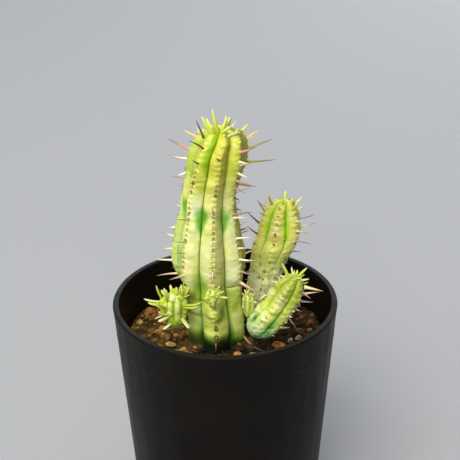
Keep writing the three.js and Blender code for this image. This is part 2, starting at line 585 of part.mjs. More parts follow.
// ---- pebbles: x, y, length, width, height, turn ---------------------------------------------------
const PEBBLES = [
  [-31.7, 19.0, 5.6, 4.6, 4.4, 20], [-35.4, 11.0, 4.2, 3.4, 2.8, 70], [-22.0, -6.6, 5.2, 3.0, 2.6, -10],
  [-16.9, -10.4, 3.6, 2.6, 2.2, 15], [4.8, -15.2, 4.2, 3.6, 3.6, 30], [10.4, -15.6, 4.0, 3.0, 3.0, 0],
  [21.6, -8.6, 6.2, 3.6, 3.6, -4], [26.3, -4.8, 2.8, 2.4, 2.4, 40], [29.6, -2.6, 3.4, 2.8, 2.6, 60],
  [35.2, 9.6, 3.2, 3.0, 2.8, 10], [32.4, 14.4, 3.0, 2.6, 2.4, 50], [-27.7, 3.8, 3.2, 2.8, 2.4, 25],
  [-25.2, 10.8, 3.0, 2.6, 2.2, 80], [-28.9, -2.8, 3.0, 2.2, 2.0, 0], [-33.4, 4.8, 2.8, 2.6, 2.2, 35],
  [34.2, 3.4, 3.0, 2.4, 2.2, 15], [-2.4, -16.6, 3.0, 2.4, 2.0, -20], [17.2, -15.6, 2.8, 2.2, 2.0, 30],
  [-9.4, -17.0, 2.8, 2.4, 2.0, 60], [-20.0, 20.0, 4.2, 3.4, 3.0, 45], [-8.0, 27.0, 4.6, 3.6, 3.2, 15],
  [6.0, 30.0, 3.8, 3.2, 2.8, 75], [20.0, 29.0, 4.4, 3.4, 3.0, 30], [30.0, 24.0, 3.4, 3.0, 2.6, 0],
  [-14.0, -28.0, 4.4, 3.4, 3.0, 25], [2.0, -32.0, 4.0, 3.2, 2.8, 65], [18.0, -29.0, 4.2, 3.4, 3.0, 10],
  [-29.0, -18.0, 3.6, 3.0, 2.6, 50],
];

function pebble([x, y, l, w, h, turn]) {
  const pts = [];
  for (let i = 0; i < 16; i++) {
    const u = (i + 0.5) / 16;
    const ph = Math.acos(1 - 2 * u);
    const th = i * 2.399963 + rnd() * 0.5;
    const k = 0.86 + 0.14 * rnd();
    const px = Math.sin(ph) * Math.cos(th) * (l / 2) * k;
    const py = Math.sin(ph) * Math.sin(th) * (w / 2) * k;
    const pz = Math.cos(ph) * (h / 2) * k;
    pts.push([px, py, pz]);
  }
  const z = SOIL_TOP + h * 0.26;
  return { solid: wasm.Manifold.hull(pts).rotate([0, 0, turn]).translate([x, y, z]), x, y, z, l, w, h, turn };
}

const grown = (p) =>
  p.solid
    .translate([-p.x, -p.y, -p.z])
    .rotate([0, 0, -p.turn])
    .scale([1 + (2 * GAP) / p.l * 1.35, 1 + (2 * GAP) / p.w * 1.35, 1 + (2 * GAP) / p.h * 1.35])
    .rotate([0, 0, p.turn])
    .translate([p.x, p.y, p.z]);

// ---- dry needles lying on the soil: ends and radius ------------------------------------------------
const NEEDLES = [
  [-24.6, 2.2, 79.3, -15.4, 5.4, 78.6, 0.3],
  [-20.6, -1.4, 78.3, -15.6, -0.6, 78.5, 0.28],
  [-20.6, -11.6, 78.2, -12.8, -14.6, 78.3, 0.3],
];

function needle([x, y, z, X, Y, Z, r]) {
  const a = V(x, y, z);
  const b = V(X, Y, Z);
  const d = b.clone().sub(a).normalize();
  const side = new THREE.Vector3().crossVectors(d, V(0, 0, 1)).normalize();
  const up = new THREE.Vector3().crossVectors(side, d).normalize();
  const ring = (at, q) =>
    [0, 1, 2, 3, 4].map((i) => {
      const t = (i * 2 * Math.PI) / 5;
      return at.clone().addScaledVector(side, Math.cos(t) * q).addScaledVector(up, -Math.sin(t) * q);
    });
  return loft([ring(a, r), ring(a.clone().lerp(b, 0.5), r), ring(b, r * 0.5)], a, b);
}

// ---- assembly ------------------------------------------------------------------------------------
const stemZone = stemBody(GAP);
const rearZone = rearBody(GAP);
const pupZone = pupBody(GAP);

const bodies = {};
bodies.pot = pot();
bodies.main_stem = mainStem();
bodies.branch_rear_right = rearBranch().subtract(stemZone);
bodies.pup_front_right = pup(stemZone);
bodies.offset_front_left = leafyOffset(stemZone);
bodies.bud_front = bud([-4.5, -15.0, 103.4], [2.7, 2.3, 4.8], [
  [-6.3, -17.2, 109.0, 0.6],
  [-4.5, -16.6, 110.2, 0.65],
  [-2.0, -17.2, 110.2, 0.6],
  [-0.4, -17.4, 107.9, 0.6],
  [1.1, -17.0, 104.8, 0.6],
  [-8.0, -16.6, 104.4, 0.55],
  [-5.2, -18.8, 106.8, 0.6],
], stemZone);
bodies.bud_right = bud([8.9, -9.2, 97.0], [2.1, 2.1, 5.6], [
  [6.6, -10.6, 103.4, 0.6],
  [9.4, -9.8, 105.6, 0.65],
  [11.8, -9.2, 102.6, 0.6],
  [12.6, -9.6, 98.4, 0.6],
  [7.2, -12.6, 101.2, 0.55],
  [10.2, -12.4, 100.4, 0.55],
], stemZone.add(pupZone));

const stones = PEBBLES.map(pebble);
const stoneZone = wasm.Manifold.union(stones.map(grown));
bodies.soil = soil(wasm.Manifold.union([stemZone, rearZone, stoneZone]));

// ---- finish -----------------------------------------------------------------------------------------
const root = new THREE.Group();
root.name = 'potted_euphorbia';

function addNode(name, geometry, slot, colour, roughness) {
  const mesh = new THREE.Mesh(
    geometry,
    new THREE.MeshStandardMaterial({ name: slot, color: colour, roughness, metalness: 0 }),
  );
  mesh.name = name;
  root.add(mesh);
}

const skin = {
  pot: ['pot_plastic', 0x17181a, 0.45],
  soil: ['soil', 0x3a2a1c, 1.0],
  main_stem: ['stem_skin', 0xb9c95a, 0.5],
  branch_rear_right: ['branch_skin', 0xb9c95a, 0.5],
  pup_front_right: ['pup_skin', 0xb9c95a, 0.5],
  offset_front_left: ['young_leaf', 0xd6dc5c, 0.5],
  bud_front: ['young_leaf', 0xd6dc5c, 0.5],
  bud_right: ['young_leaf', 0xd6dc5c, 0.5],
};
for (const [name, solid] of Object.entries(bodies)) addNode(name, geometryOf(whole(solid)), ...skin[name]);
stones.forEach((s, i) =>
  addNode('pebble_' + String(i + 1).padStart(2, '0'), geometryOf(s.solid), 'pebble', 0x9a6a3a, 0.9),
);
NEEDLES.forEach((n, i) =>
  addNode('dry_needle_' + (i + 1), geometryOf(needle(n)), 'dry_spine', 0x8a6a4a, 0.8),
);

export default root;
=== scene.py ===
# Looks of the potted euphorbia: ribbed stems, spines, leafy offsets, grit and a moulded plastic pot.
import json
import math

import bpy
import numpy as np
from mathutils import Matrix, Vector

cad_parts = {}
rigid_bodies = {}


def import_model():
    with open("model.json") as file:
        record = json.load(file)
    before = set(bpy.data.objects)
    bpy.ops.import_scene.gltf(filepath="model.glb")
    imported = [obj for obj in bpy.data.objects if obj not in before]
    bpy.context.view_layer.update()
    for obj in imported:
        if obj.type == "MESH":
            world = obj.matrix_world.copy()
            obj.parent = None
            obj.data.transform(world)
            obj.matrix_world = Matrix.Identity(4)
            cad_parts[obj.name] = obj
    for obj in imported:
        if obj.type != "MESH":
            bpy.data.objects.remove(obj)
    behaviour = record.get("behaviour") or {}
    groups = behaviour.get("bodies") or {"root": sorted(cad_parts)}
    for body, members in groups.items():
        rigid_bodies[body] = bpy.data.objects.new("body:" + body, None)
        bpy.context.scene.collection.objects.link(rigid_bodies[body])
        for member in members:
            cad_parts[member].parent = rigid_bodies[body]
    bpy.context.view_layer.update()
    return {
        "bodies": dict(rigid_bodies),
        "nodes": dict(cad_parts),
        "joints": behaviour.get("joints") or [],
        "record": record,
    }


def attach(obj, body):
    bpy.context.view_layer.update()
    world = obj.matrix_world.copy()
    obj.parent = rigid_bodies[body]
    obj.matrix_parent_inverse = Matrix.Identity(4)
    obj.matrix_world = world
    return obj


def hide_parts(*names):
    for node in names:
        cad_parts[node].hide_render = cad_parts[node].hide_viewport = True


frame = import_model()
MM = 0.001
rng = np.random.default_rng(20)

# ------------------------------------------------------------------ maths
def lin(c):
    """8-bit sRGB to linear"""
    c = np.asarray(c, float) / 255.0
    return np.where(c <= 0.04045, c / 12.92, ((c + 0.055) / 1.055) ** 2.4)


def pchip(xs, ys):
    """monotone cubic through a table"""
    xs, ys = np.asarray(xs, float), np.asarray(ys, float)
    h = np.diff(xs)
    d = np.diff(ys) / h
    m = np.zeros(len(xs))
    for i in range(1, len(xs) - 1):
        if d[i - 1] * d[i] > 0:
            w1, w2 = 2 * h[i] + h[i - 1], h[i] + 2 * h[i - 1]
            m[i] = (w1 + w2) / (w1 / d[i - 1] + w2 / d[i])
    m[0], m[-1] = d[0], d[-1]

    def f(x):
        x = np.clip(np.asarray(x, float), xs[0], xs[-1])
        i = np.clip(np.searchsorted(xs, x, "right") - 1, 0, len(h) - 1)
        t = (x - xs[i]) / h[i]
        return (
            (2 * t**3 - 3 * t**2 + 1) * ys[i]
            + (t**3 - 2 * t**2 + t) * h[i] * m[i]
            + (-2 * t**3 + 3 * t**2) * ys[i + 1]
            + (t**3 - t**2) * h[i] * m[i + 1]
        )

    return f


def vnoise(p, scale, seed=0):
    """value noise 0..1 on points p (..., 3) in mm"""
    q = np.asarray(p, float) / scale
    i = np.floor(q).astype(np.int64)
    f = q - i
    f = f * f * (3 - 2 * f)

    def h(dx, dy, dz):
        n = (i[..., 0] + dx) * 374761393 + (i[..., 1] + dy) * 668265263 + (i[..., 2] + dz) * 362437 + seed * 1013904223
        n = n & 0xFFFFFFFF
        n = ((n ^ (n >> 13)) * 1274126177) & 0xFFFFFFFF
        n = n ^ (n >> 16)
        return (n & 0xFFFFFF) / float(0xFFFFFF)

    fx, fy, fz = f[..., 0], f[..., 1], f[..., 2]
    a = h(0, 0, 0) * (1 - fx) + h(1, 0, 0) * fx
    b = h(0, 1, 0) * (1 - fx) + h(1, 1, 0) * fx
    c = h(0, 0, 1) * (1 - fx) + h(1, 0, 1) * fx
    d = h(0, 1, 1) * (1 - fx) + h(1, 1, 1) * fx
    return (a * (1 - fy) + b * fy) * (1 - fz) + (c * (1 - fy) + d * fy) * fz


def fbm(p, scale, seed=0, octaves=3):
    v, k, s = 0.0, 0.5, 0.0
    for o in range(octaves):
        v = v + k * vnoise(p, scale / 2**o, seed + 17 * o)
        s += k
        k *= 0.5
    return v / s


def G(x, c, w):
    return np.exp(-(((x - c) / w) ** 2))


def step(x, a, b):
    t = np.clip((x - a) / (b - a), 0, 1)
    return t * t * (3 - 2 * t)


def mix(col, other, w):
    w = np.clip(w, 0, 1)[..., None]
    return col * (1 - w) + np.asarray(other, float) * w


# ------------------------------------------------------------------ mesh
def mesh_object(name, verts, faces, colour=None, material=None, smooth=True, more=None):
    """verts in mm; colour per vertex in 8-bit sRGB"""
    me = bpy.data.meshes.new(name)
    me.from_pydata((np.asarray(verts) * MM).tolist(), [], faces)
    me.validate()
    me.update()
    if colour is not None:
        a = me.color_attributes.new("tint", "FLOAT_COLOR", "POINT")
        c = np.ones((len(verts), 4), np.float32)
        c[:, :3] = lin(np.clip(colour, 0, 255))
        a.data.foreach_set("color", c.ravel())
    if smooth:
        me.polygons.foreach_set("use_smooth", [True] * len(me.polygons))
    o = bpy.data.objects.new(name, me)
    bpy.context.scene.collection.objects.link(o)
    if material:
        me.materials.append(material)
    return o


def ring_faces(rings, n, offset=0, closed_ends=True):
    """quads over rings of n points, and a fan to one centre point at each end, numbered after the rings"""
    f = []
    for i in range(rings - 1):
        a = offset + i * n
        for j in range(n):
            k = (j + 1) % n
            f.append((a + j, a + k, a + n + k, a + n + j))
    if closed_ends:
        c0 = offset + rings * n
        c1 = c0 + 1
        top = offset + (rings - 1) * n
        for j in range(n):
            k = (j + 1) % n
            f.append((c0, offset + k, offset + j))
            f.append((c1, top + j, top + k))
    return f


class Heap:
    """collects closed shells into one mesh"""

    def __init__(self):
        self.v, self.f, self.c, self.n = [], [], [], 0

    def add(self, verts, faces, colour):
        self.v.append(np.asarray(verts, float))
        self.c.append(np.broadcast_to(np.asarray(colour, float), (len(verts), 3)))
        self.f += [tuple(i + self.n for i in q) for q in faces]
        self.n += len(verts)

    def object(self, name, material):
        return mesh_object(name, np.concatenate(self.v), self.f, np.concatenate(self.c), material)


def sweep(points, radii, sides=8, flat=1.0, up=(0, 0, 1), groove=0.0):
    """closed tube along points; flat squeezes it along its second axis"""
    P = np.asarray(points, float)
    n = len(P)
    T = np.gradient(P, axis=0)
    T /= np.linalg.norm(T, axis=1)[:, None] + 1e-12
    s = np.cross(T[0], up)
    if np.linalg.norm(s) < 0.2:
        s = np.cross(T[0], (1, 0, 0))
    s /= np.linalg.norm(s)
    verts = []
    a = np.linspace(0, 2 * np.pi, sides, endpoint=False)
    for i in range(n):
        s = s - T[i] * (s @ T[i])
        s /= np.linalg.norm(s)
        u = np.cross(s, T[i])
        r = radii[i] * np.ones(sides)
        r = r * (1 - groove * np.exp(-((np.angle(np.exp(1j * (a - np.pi / 2))) / 0.5) ** 2)))
        verts.append(P[i] + np.outer(np.cos(a) * r, s) - np.outer(np.sin(a) * r * flat, u))
    verts = np.concatenate(verts + [P[:1] - T[:1] * radii[0] * 0.3, P[-1:] + T[-1:] * radii[-1] * 0.5])
    return verts, ring_faces(n, sides)


def bezier(p0, p1, p2, n):
    t = np.linspace(0, 1, n)[:, None]
    return (1 - t) ** 2 * np.asarray(p0) + 2 * t * (1 - t) * np.asarray(p1) + t**2 * np.asarray(p2)


def ico(subdiv):
    t = (1 + 5**0.5) / 2
    v = [(-1, t, 0), (1, t, 0), (-1, -t, 0), (1, -t, 0), (0, -1, t), (0, 1, t), (0, -1, -t), (0, 1, -t), (t, 0, -1), (t, 0, 1), (-t, 0, -1), (-t, 0, 1)]
    f = [(0, 11, 5), (0, 5, 1), (0, 1, 7), (0, 7, 10), (0, 10, 11), (1, 5, 9), (5, 11, 4), (11, 10, 2), (10, 7, 6), (7, 1, 8), (3, 9, 4), (3, 4, 2), (3, 2, 6), (3, 6, 8), (3, 8, 9), (4, 9, 5), (2, 4, 11), (6, 2, 10), (8, 6, 7), (9, 8, 1)]
    v = [np.array(p, float) / np.linalg.norm(p) for p in v]
    for _ in range(subdiv):
        mid, g = {}, []

        def m(i, j):
            k = (min(i, j), max(i, j))
            if k not in mid:
                p = v[i] + v[j]
                v.append(p / np.linalg.norm(p))
                mid[k] = len(v) - 1
            return mid[k]

        for a, b, c in f:
            x, y, z = m(a, b), m(b, c), m(c, a)
            g += [(a, x, z), (b, y, x), (c, z, y), (x, y, z)]
        f = g
    return np.array(v), f


ICO1, ICO2, ICO3 = ico(1), ico(2), ico(3)


def stone(kind, size, turn, planes, r, rough=0.03, k=14.0):
    """faceted, worn stone: a sphere cut by random planes and rounded a little"""
    v, f = kind
    n = r.normal(size=(planes, 3))
    n /= np.linalg.norm(n, axis=1)[:, None]
    d = r.uniform(0.6, 0.98, planes)
    dot = v @ n.T
    lim = np.where(dot > 0.05, d / np.maximum(dot, 0.05), 9.0)
    rad = -np.log(np.exp(-k * lim).sum(1) + np.exp(-k)) / k
    rad = rad * (1 + rough * (fbm(v * 7 + r.uniform(0, 90, 3), 2.2, 3) - 0.5) * 2)
    p = v * rad[:, None] * (np.asarray(size) / 2)
    c, s = math.cos(turn), math.sin(turn)
    return p @ np.array([[c, s, 0], [-s, c, 0], [0, 0, 1]]), f


# ------------------------------------------------------------------ materials
def principled(name):
    m = bpy.data.materials.new(name)
    m.use_nodes = True
    return m, m.node_tree.nodes, m.node_tree.links, m.node_tree.nodes["Principled BSDF"]


def noise_node(nodes, links, coord, scale, detail=4.0, rough=0.55):
    t = nodes.new("ShaderNodeTexNoise")
    t.inputs["Scale"].default_value = scale
    t.inputs["Detail"].default_value = detail
    t.inputs["Roughness"].default_value = rough
    links.new(coord.outputs["Object"], t.inputs["Vector"])
    return t


def tint_material(name, rough, spread=0.18, scale=900.0, bump=0.25, bump_scale=2600.0, dist=0.0001, sss=0.0, coat=0.0, spec=0.5):
    """colour painted on the mesh, broken up by fine noise, with a fine bump"""
    m, nodes, links, b = principled(name)
    co = nodes.new("ShaderNodeTexCoord")
    at = nodes.new("ShaderNodeVertexColor")
    at.layer_name = "tint"
    n1 = noise_node(nodes, links, co, scale)
    r1 = nodes.new("ShaderNodeMapRange")
    r1.inputs["From Min"].default_value = 0.3
    r1.inputs["From Max"].default_value = 0.7
    r1.inputs["To Min"].default_value = 1 - spread
    r1.inputs["To Max"].default_value = 1 + spread
    links.new(n1.outputs["Fac"], r1.inputs["Value"])
    mul = nodes.new("ShaderNodeVectorMath")
    mul.operation = "SCALE"
    links.new(at.outputs["Color"], mul.inputs[0])
    links.new(r1.outputs["Result"], mul.inputs["Scale"])
    links.new(mul.outputs["Vector"], b.inputs["Base Color"])
    b.inputs["Roughness"].default_value = rough
    b.inputs["Specular IOR Level"].default_value = spec
    if sss:
        b.inputs["Subsurface Weight"].default_value = sss
        b.inputs["Subsurface Radius"].default_value = (1.0, 1.2, 0.35)
        b.inputs["Subsurface Scale"].default_value = 0.0012
    if coat:
        b.inputs["Coat Weight"].default_value = coat
        b.inputs["Coat Roughness"].default_value = 0.35
    n2 = noise_node(nodes, links, co, bump_scale, 3.0)
    bp = nodes.new("ShaderNodeBump")
    bp.inputs["Strength"].default_value = bump
    bp.inputs["Distance"].default_value = dist
    links.new(n2.outputs["Fac"], bp.inputs["Height"])
    links.new(bp.outputs["Normal"], b.inputs["Normal"])
    return m


SKIN = tint_material("skin", 0.42, 0.05, 700.0, 0.35, 3200.0, 0.00008, sss=0.18, spec=0.45)
LEAF = tint_material("young_leaf", 0.4, 0.06, 900.0, 0.25, 3000.0, 0.00006, sss=0.22, spec=0.45)
SPINE = tint_material("spine", 0.5, 0.10, 1500.0, 0.3, 5000.0, 0.00005, spec=0.4)
STONE = tint_material("stone", 0.85, 0.30, 700.0, 0.7, 1600.0, 0.0003, spec=0.3)
SOIL = tint_material("soil", 0.95, 0.45, 500.0, 1.0, 1300.0, 0.0006, spec=0.2)

# ------------------------------------------------------------------ plant tables, mm
STEM_Z = [62, 68, 71, 78, 86, 94, 101, 106, 110, 115, 122, 130, 138, 146, 154, 160, 163.2, 165.6, 167.2, 168.4, 169]
STEM_X = [-3.6, -3.6, -3.6, -3.5, -3.6, -4.3, -4.8, -5.3, -5.8, -6.2, -6.4, -6.2, -5.7, -4.6, -3, -2, -1.3, -0.7, -0.5, -0.6, -0.6]
STEM_R = [3, 8.2, 10.2, 11.2, 11.5, 11.6, 12.6, 13.6, 14.4, 14.7, 13.8, 12.2, 10.8, 10.7, 11.1, 10.7, 9.6, 8.3, 6.6, 4.6, 2.8]
STEM_GROOVE = [0.98, 0.86, 0.76, 0.74, 0.74, 0.75, 0.77, 0.79, 0.8, 0.8, 0.8, 0.79, 0.77, 0.76, 0.75, 0.74, 0.73, 0.71, 0.7, 0.7, 0.74]
STEM_CRESTS = {"A": [-80, -80, -80, -80, -78, -70, -58, -48, -43, -42, -41, -41, -44, -45, -42, -39, -38, -38, -38, -38, -38], "B": [-3, -3, -3, -3, -1, 0, 1, 2, 4, 6, 8, 10, 10, 8, 5, 3, 6, 10, 10, 10, 10], "C": [80, 80, 80, 80, 78, 72, 62, 56, 55, 57, 58, 60, 62, 57, 52, 49, 49, 51, 53, 55, 55], "D": [148, 148, 148, 148, 146, 140, 128, 116, 110, 109, 110, 111, 112, 110, 107, 107, 108, 110, 110, 110, 110], "E": [218, 218, 218, 218, 216, 208, 192, 176, 166, 162, 161, 161, 162, 161, 159, 158, 159, 161, 161, 161, 161], "F": [240, 240, 240, 240, 238, 232, 224, 218, 214, 212, 212, 212, 213, 212, 210, 209, 210, 211, 211, 211, 211], "Z": [260, 260, 260, 260, 260, 260, 262, 265, 266, 266, 266, 266, 266, 265, 263, 262, 262, 262, 262, 262, 262]}
STEM_FADE = [0, 0, 0, 0, 0, 0.1, 0.42, 0.75, 0.95, 1, 1, 1, 1, 1, 1, 1, 1, 1, 1, 1, 1]
MAIN_SPINES = [
    ("D", 162.6, 0.84, 0.29, 0.47, 6.2, 0.55, "redyel"), ("C", 161.6, 0.79, -0.42, 0.44, 7.9, 0.5, "pink"),
    ("D", 158.8, 0.93, 0.28, 0.24, 10.2, 0.5, "olive"), ("C", 158.1, 0.88, -0.47, -0.06, 4.1, 0.45, "pale"),
    ("D", 153.4, 0.96, 0.26, -0.06, 11.7, 0.5, "olive"), ("C", 156.5, 0.85, -0.44, 0.28, 5.7, 0.4, "pinkpale"),
    ("C", 153.1, 0.85, -0.47, -0.25, 4.6, 0.45, "pale"), ("C", 149.9, 0.87, -0.49, -0.09, 9.1, 0.45, "pinkbrown"),
    ("D", 144.0, 0.92, 0.22, -0.33, 5.9, 0.4, "olive"), ("C", 146.7, 0.84, -0.46, -0.28, 4.3, 0.4, "pinkbrown"),
    ("C", 142.3, 0.88, -0.3, -0.38, 2.3, 0.4, "dark"), ("D", 133.3, 0.9, 0.15, -0.41, 2.7, 0.4, "dark"),
    ("C", 135.3, 0.88, -0.39, 0.29, 8.3, 0.4, "brown"), ("C", 133.9, 0.92, -0.36, 0.16, 5.1, 0.4, "pale"),
    ("D", 123.8, 0.94, 0.28, 0.18, 3.3, 0.4, "dark"), ("D", 122.3, 0.95, 0.28, 0.13, 3.5, 0.35, "brown"),
    ("C", 125.7, 0.88, -0.41, 0.25, 7.6, 0.42, "cream"), ("C", 121.7, 0.87, -0.44, 0.24, 5.0, 0.42, "cream"),
    ("C", 117.2, 0.88, -0.45, 0.15, 7.0, 0.45, "cream"), ("C", 112.2, 0.9, -0.43, -0.1, 6.0, 0.42, "pinkbrown"),
    ("C", 107.0, 0.83, -0.43, -0.37, 8.2, 0.6, "pinkpale"), ("C", 79.0, 0.55, -0.83, -0.03, 13.5, 0.36, "brown"),
    ("Z", 159.5, -0.88, 0.07, 0.47, 9.4, 0.5, "pink"), ("A", 163.3, -0.54, -0.6, 0.59, 10.3, 0.45, "dark"),
    ("Z", 156.1, -0.98, 0.08, 0.19, 8.1, 0.45, "creamdark"), ("F", 150.6, -0.96, 0.25, 0.12, 11.3, 0.45, "pinkpale"),
    ("A", 158.0, -0.54, -0.6, 0.59, 4.1, 0.4, "dark"), ("Z", 150.0, -0.93, 0.07, -0.37, 3.9, 0.42, "cream"),
    ("Z", 148.4, -1.0, 0.07, 0.04, 5.6, 0.4, "pinkbrown"), ("Z", 144.6, -0.99, 0.07, 0.15, 2.0, 0.35, "brown"),
    ("F", 132.8, -0.96, 0.23, 0.13, 8.3, 0.35, "pinkpale"), ("Z", 136.3, -0.93, 0.07, 0.35, 1.8, 0.35, "pale"),
    ("A", 134.7, -0.7, -0.63, 0.34, 6.5, 0.33, "brown"), ("Z", 127.1, -1.0, 0.08, -0.03, 2.8, 0.38, "cream"),
    ("Z", 123.3, -0.96, 0.08, 0.28, 4.8, 0.42, "creamdark"), ("A", 126.1, -0.69, -0.64, 0.34, 5.6, 0.3, "brown"),
    ("A", 121.7, -0.7, -0.63, 0.33, 4.8, 0.28, "brown"), ("Z", 117.8, -1.0, 0.07, -0.02, 3.8, 0.4, "cream"),
    ("Z", 112.8, -1.0, 0.07, 0.02, 8.0, 0.45, "cream"), ("A", 116.3, -0.67, -0.68, 0.28, 6.5, 0.38, "brown"),
    ("Z", 106.6, -0.99, 0.06, -0.14, 8.9, 0.45, "pinkpale"), ("A", 112.1, -0.7, -0.7, 0.14, 7.9, 0.5, "pinkpale"),
    ("A", 149.4, -0.54, -0.68, 0.5, 1.7, 0.35, "dark"), ("A", 154.7, -0.63, -0.76, -0.19, 2.5, 0.35, "olive"),
    ("B", 160.1, -0.46, -0.65, 0.61, 3.1, 0.38, "dark"), ("B", 138.4, 0.54, -0.6, 0.59, 3.3, 0.35, "pinkpale"),
    ("B", 138.2, -0.19, -0.58, 0.8, 3.5, 0.35, "pinkbrown"), ("A", 137.2, 0.41, -0.48, 0.78, 1.7, 0.35, "brown"),
    ("B", 114.7, -0.07, -0.55, -0.83, 3.7, 0.42, "pinkpale"), ("B", 81.2, 0.01, -0.7, -0.71, 2.8, 0.2, "greybrown"),
]
CROWN_SPINES = [
    (-0.1, 0.5, 168.5, 0.45, 0.08, 0.89, 3.9, 0.6, "leaf"), (2.1, 2.0, 167.9, 0.35, 0.09, 0.93, 3.4, 0.5, "olive"),
    (3.1, 1.0, 167.9, 0.64, 0.08, 0.77, 3.5, 0.5, "pale"), (4.0, -2.5, 166.4, 0.91, 0.11, 0.4, 2.7, 0.45, "pale"),
    (-2.29, -4.5, 170.13, -0.183, -0.09, 0.979, 7.81, 0.66, "leaf"), (-5.35, -3.5, 169.54, -0.413, -0.174, 0.894, 5.76, 0.68, "leaf"),
    (-8.18, -3.0, 168.22, -0.334, -0.09, 0.938, 5.55, 0.42, "dark"), (-8.25, -1.0, 167.3, -0.686, -0.046, 0.726, 4.37, 0.45, "cream"),
    (-9.77, 1.0, 164.57, -0.885, 0.09, 0.457, 5.56, 0.6, "redyel"), (3.58, -6.0, 168.06, 0.874, -0.149, 0.463, 3.36, 0.42, "pale"),
    (-0.1, -4.0, 169.7, 0.389, 0.116, 0.914, 4.33, 0.5, "leaf"), (-4.0, -6.0, 169.96, -0.072, -0.397, 0.915, 2.52, 0.7, "leaf"),
    (0.89, -6.3, 169.81, 0.564, -0.517, 0.643, 3.29, 0.6, "leaf"),
]
REAR_Z = [66, 77, 84, 90.8, 95.5, 100.1, 104.7, 109.3, 113.8, 118.3, 122.8, 127.2, 129.4, 130.9, 131.8]
REAR_X = [12.2, 13.6, 14.6, 15.6, 16.3, 17.1, 18.1, 19.4, 21.1, 22.3, 22.6, 23.0, 23.4, 23.9, 24.2]
REAR_R = [3.0, 6.2, 6.6, 6.8, 6.7, 6.8, 7.3, 8.2, 9.1, 9.2, 8.4, 7.0, 5.6, 4.2, 2.4]
REAR_CRESTS = [-78, -14, 48, 108, 168, 226]
REAR_SPINES = [
    (0, 130.5, -0.32, -0.08, 0.95, 4.2, 0.45, "olive"), (0, 127.4, -0.47, -0.15, 0.87, 6.8, 0.4, "greybrown"),
    (0, 122.4, -0.65, -0.17, 0.74, 8.2, 0.4, "dark"), (0, 117.9, -0.72, -0.17, 0.68, 5.9, 0.4, "dark"),
    (0, 114.4, 0.45, -0.3, -0.84, 2.1, 0.3, "cream"), (1, 131.3, 0.05, -0.38, 0.92, 3.9, 0.5, "leaf"),
    (2, 131.2, 0.18, -0.17, 0.97, 2.5, 0.45, "leaf"), (2, 130.3, 0.26, -0.17, 0.95, 3.0, 0.4, "olive"),
    (3, 122.4, 0.96, 0.26, 0.09, 6.1, 0.4, "purple"), (2, 124.6, 0.93, -0.3, 0.21, 2.6, 0.4, "pale"),
    (3, 118.1, 0.95, 0.26, 0.17, 6.4, 0.42, "creamdark"), (2, 120.6, 0.95, -0.32, -0.08, 5.0, 0.42, "pinkpale"),
    (2, 116.3, 0.96, -0.25, -0.13, 6.6, 0.35, "purple"), (3, 110.3, 0.66, 0.24, -0.71, 2.2, 0.35, "pale"),
    (3, 107.6, 0.95, 0.22, -0.23, 5.5, 0.35, "purple"), (3, 105.5, 0.84, 0.23, -0.49, 2.9, 0.35, "pale"),
    (1, 120.0, -0.37, -0.6, 0.71, 2.5, 0.35, "dark"),
]
PUP_SPINES = [
    (24.1, -10.0, 111.5, -0.41, -0.1, 0.91, 5.0, 0.5, "leaf"), (27.0, -10.0, 111.1, -0.03, -0.23, 0.97, 2.2, 0.45, "pale"),
    (29.5, -10.0, 111.0, 0.62, -0.13, 0.77, 3.8, 0.5, "leaf"), (30.3, -10.0, 108.3, 0.95, -0.19, 0.26, 2.6, 0.4, "leaf"),
    (32.6, -10.0, 104.8, 0.97, -0.08, -0.22, 6.1, 0.6, "tan"), (32.6, -10.0, 102.4, 0.98, -0.11, 0.17, 4.6, 0.4, "pinkpale"),
    (29.9, -10.0, 103.0, 0.79, -0.1, -0.6, 4.8, 0.6, "pinkpale"), (31.2, -10.0, 98.7, 0.99, -0.13, -0.01, 3.7, 0.4, "purple"),
    (28.9, -10.0, 98.5, 0.32, -0.22, -0.92, 2.3, 0.5, "cream"), (27.7, -10.0, 95.4, 0.89, -0.2, -0.41, 2.5, 0.45, "cream"),
    (25.8, -10.0, 90.1, 0.6, -0.13, -0.79, 3.8, 0.35, "pinkpale"), (24.0, -10.0, 86.9, 0.93, -0.32, 0.17, 1.6, 0.4, "pale"),
    (22.8, -10.0, 109.9, -0.82, -0.23, 0.52, 2.2, 0.4, "pale"), (20.3, -10.0, 107.2, -0.9, -0.16, 0.4, 3.0, 0.45, "cream"),
    (17.6, -10.0, 102.9, -0.26, -0.13, 0.96, 3.9, 0.4, "cream"), (16.2, -10.0, 101.5, -0.31, -0.15, 0.94, 3.4, 0.35, "pinkbrown"),
    (14.9, -10.0, 101.0, -0.78, -0.2, -0.59, 2.5, 0.5, "pale"),
]

TYPES = {  # foot, middle and tip colour of each sort of spine
    "leaf": ((196, 208, 60), (212, 222, 84), (226, 230, 130)),
    "olive": ((190, 190, 84), (168, 160, 78), (120, 98, 70)),
    "pale": ((238, 236, 170), (236, 232, 180), (222, 206, 160)),
    "redyel": ((232, 150, 150), (236, 190, 110), (236, 222, 84)),
    "pink": ((220, 142, 140), (192, 142, 118), (122, 88, 64)),
    "pinkpale": ((238, 212, 180), (216, 176, 146), (156, 122, 100)),
    "dark": ((128, 96, 62), (96, 68, 50), (66, 48, 44)),
    "cream": ((246, 240, 214), (244, 234, 204), (188, 158, 132)),
    "creamdark": ((246, 240, 206), (226, 208, 168), (128, 92, 72)),
    "pinkbrown": ((200, 164, 132), (168, 130, 106), (134, 106, 84)),
    "brown": ((196, 160, 110), (168, 128, 92), (118, 88, 66)),
    "tan": ((240, 228, 160), (236, 208, 130), (180, 136, 88)),
    "greybrown": ((172, 160, 110), (140, 124, 96), (104, 90, 84)),
    "purple": ((196, 170, 150), (158, 132, 136), (104, 84, 104)),
}


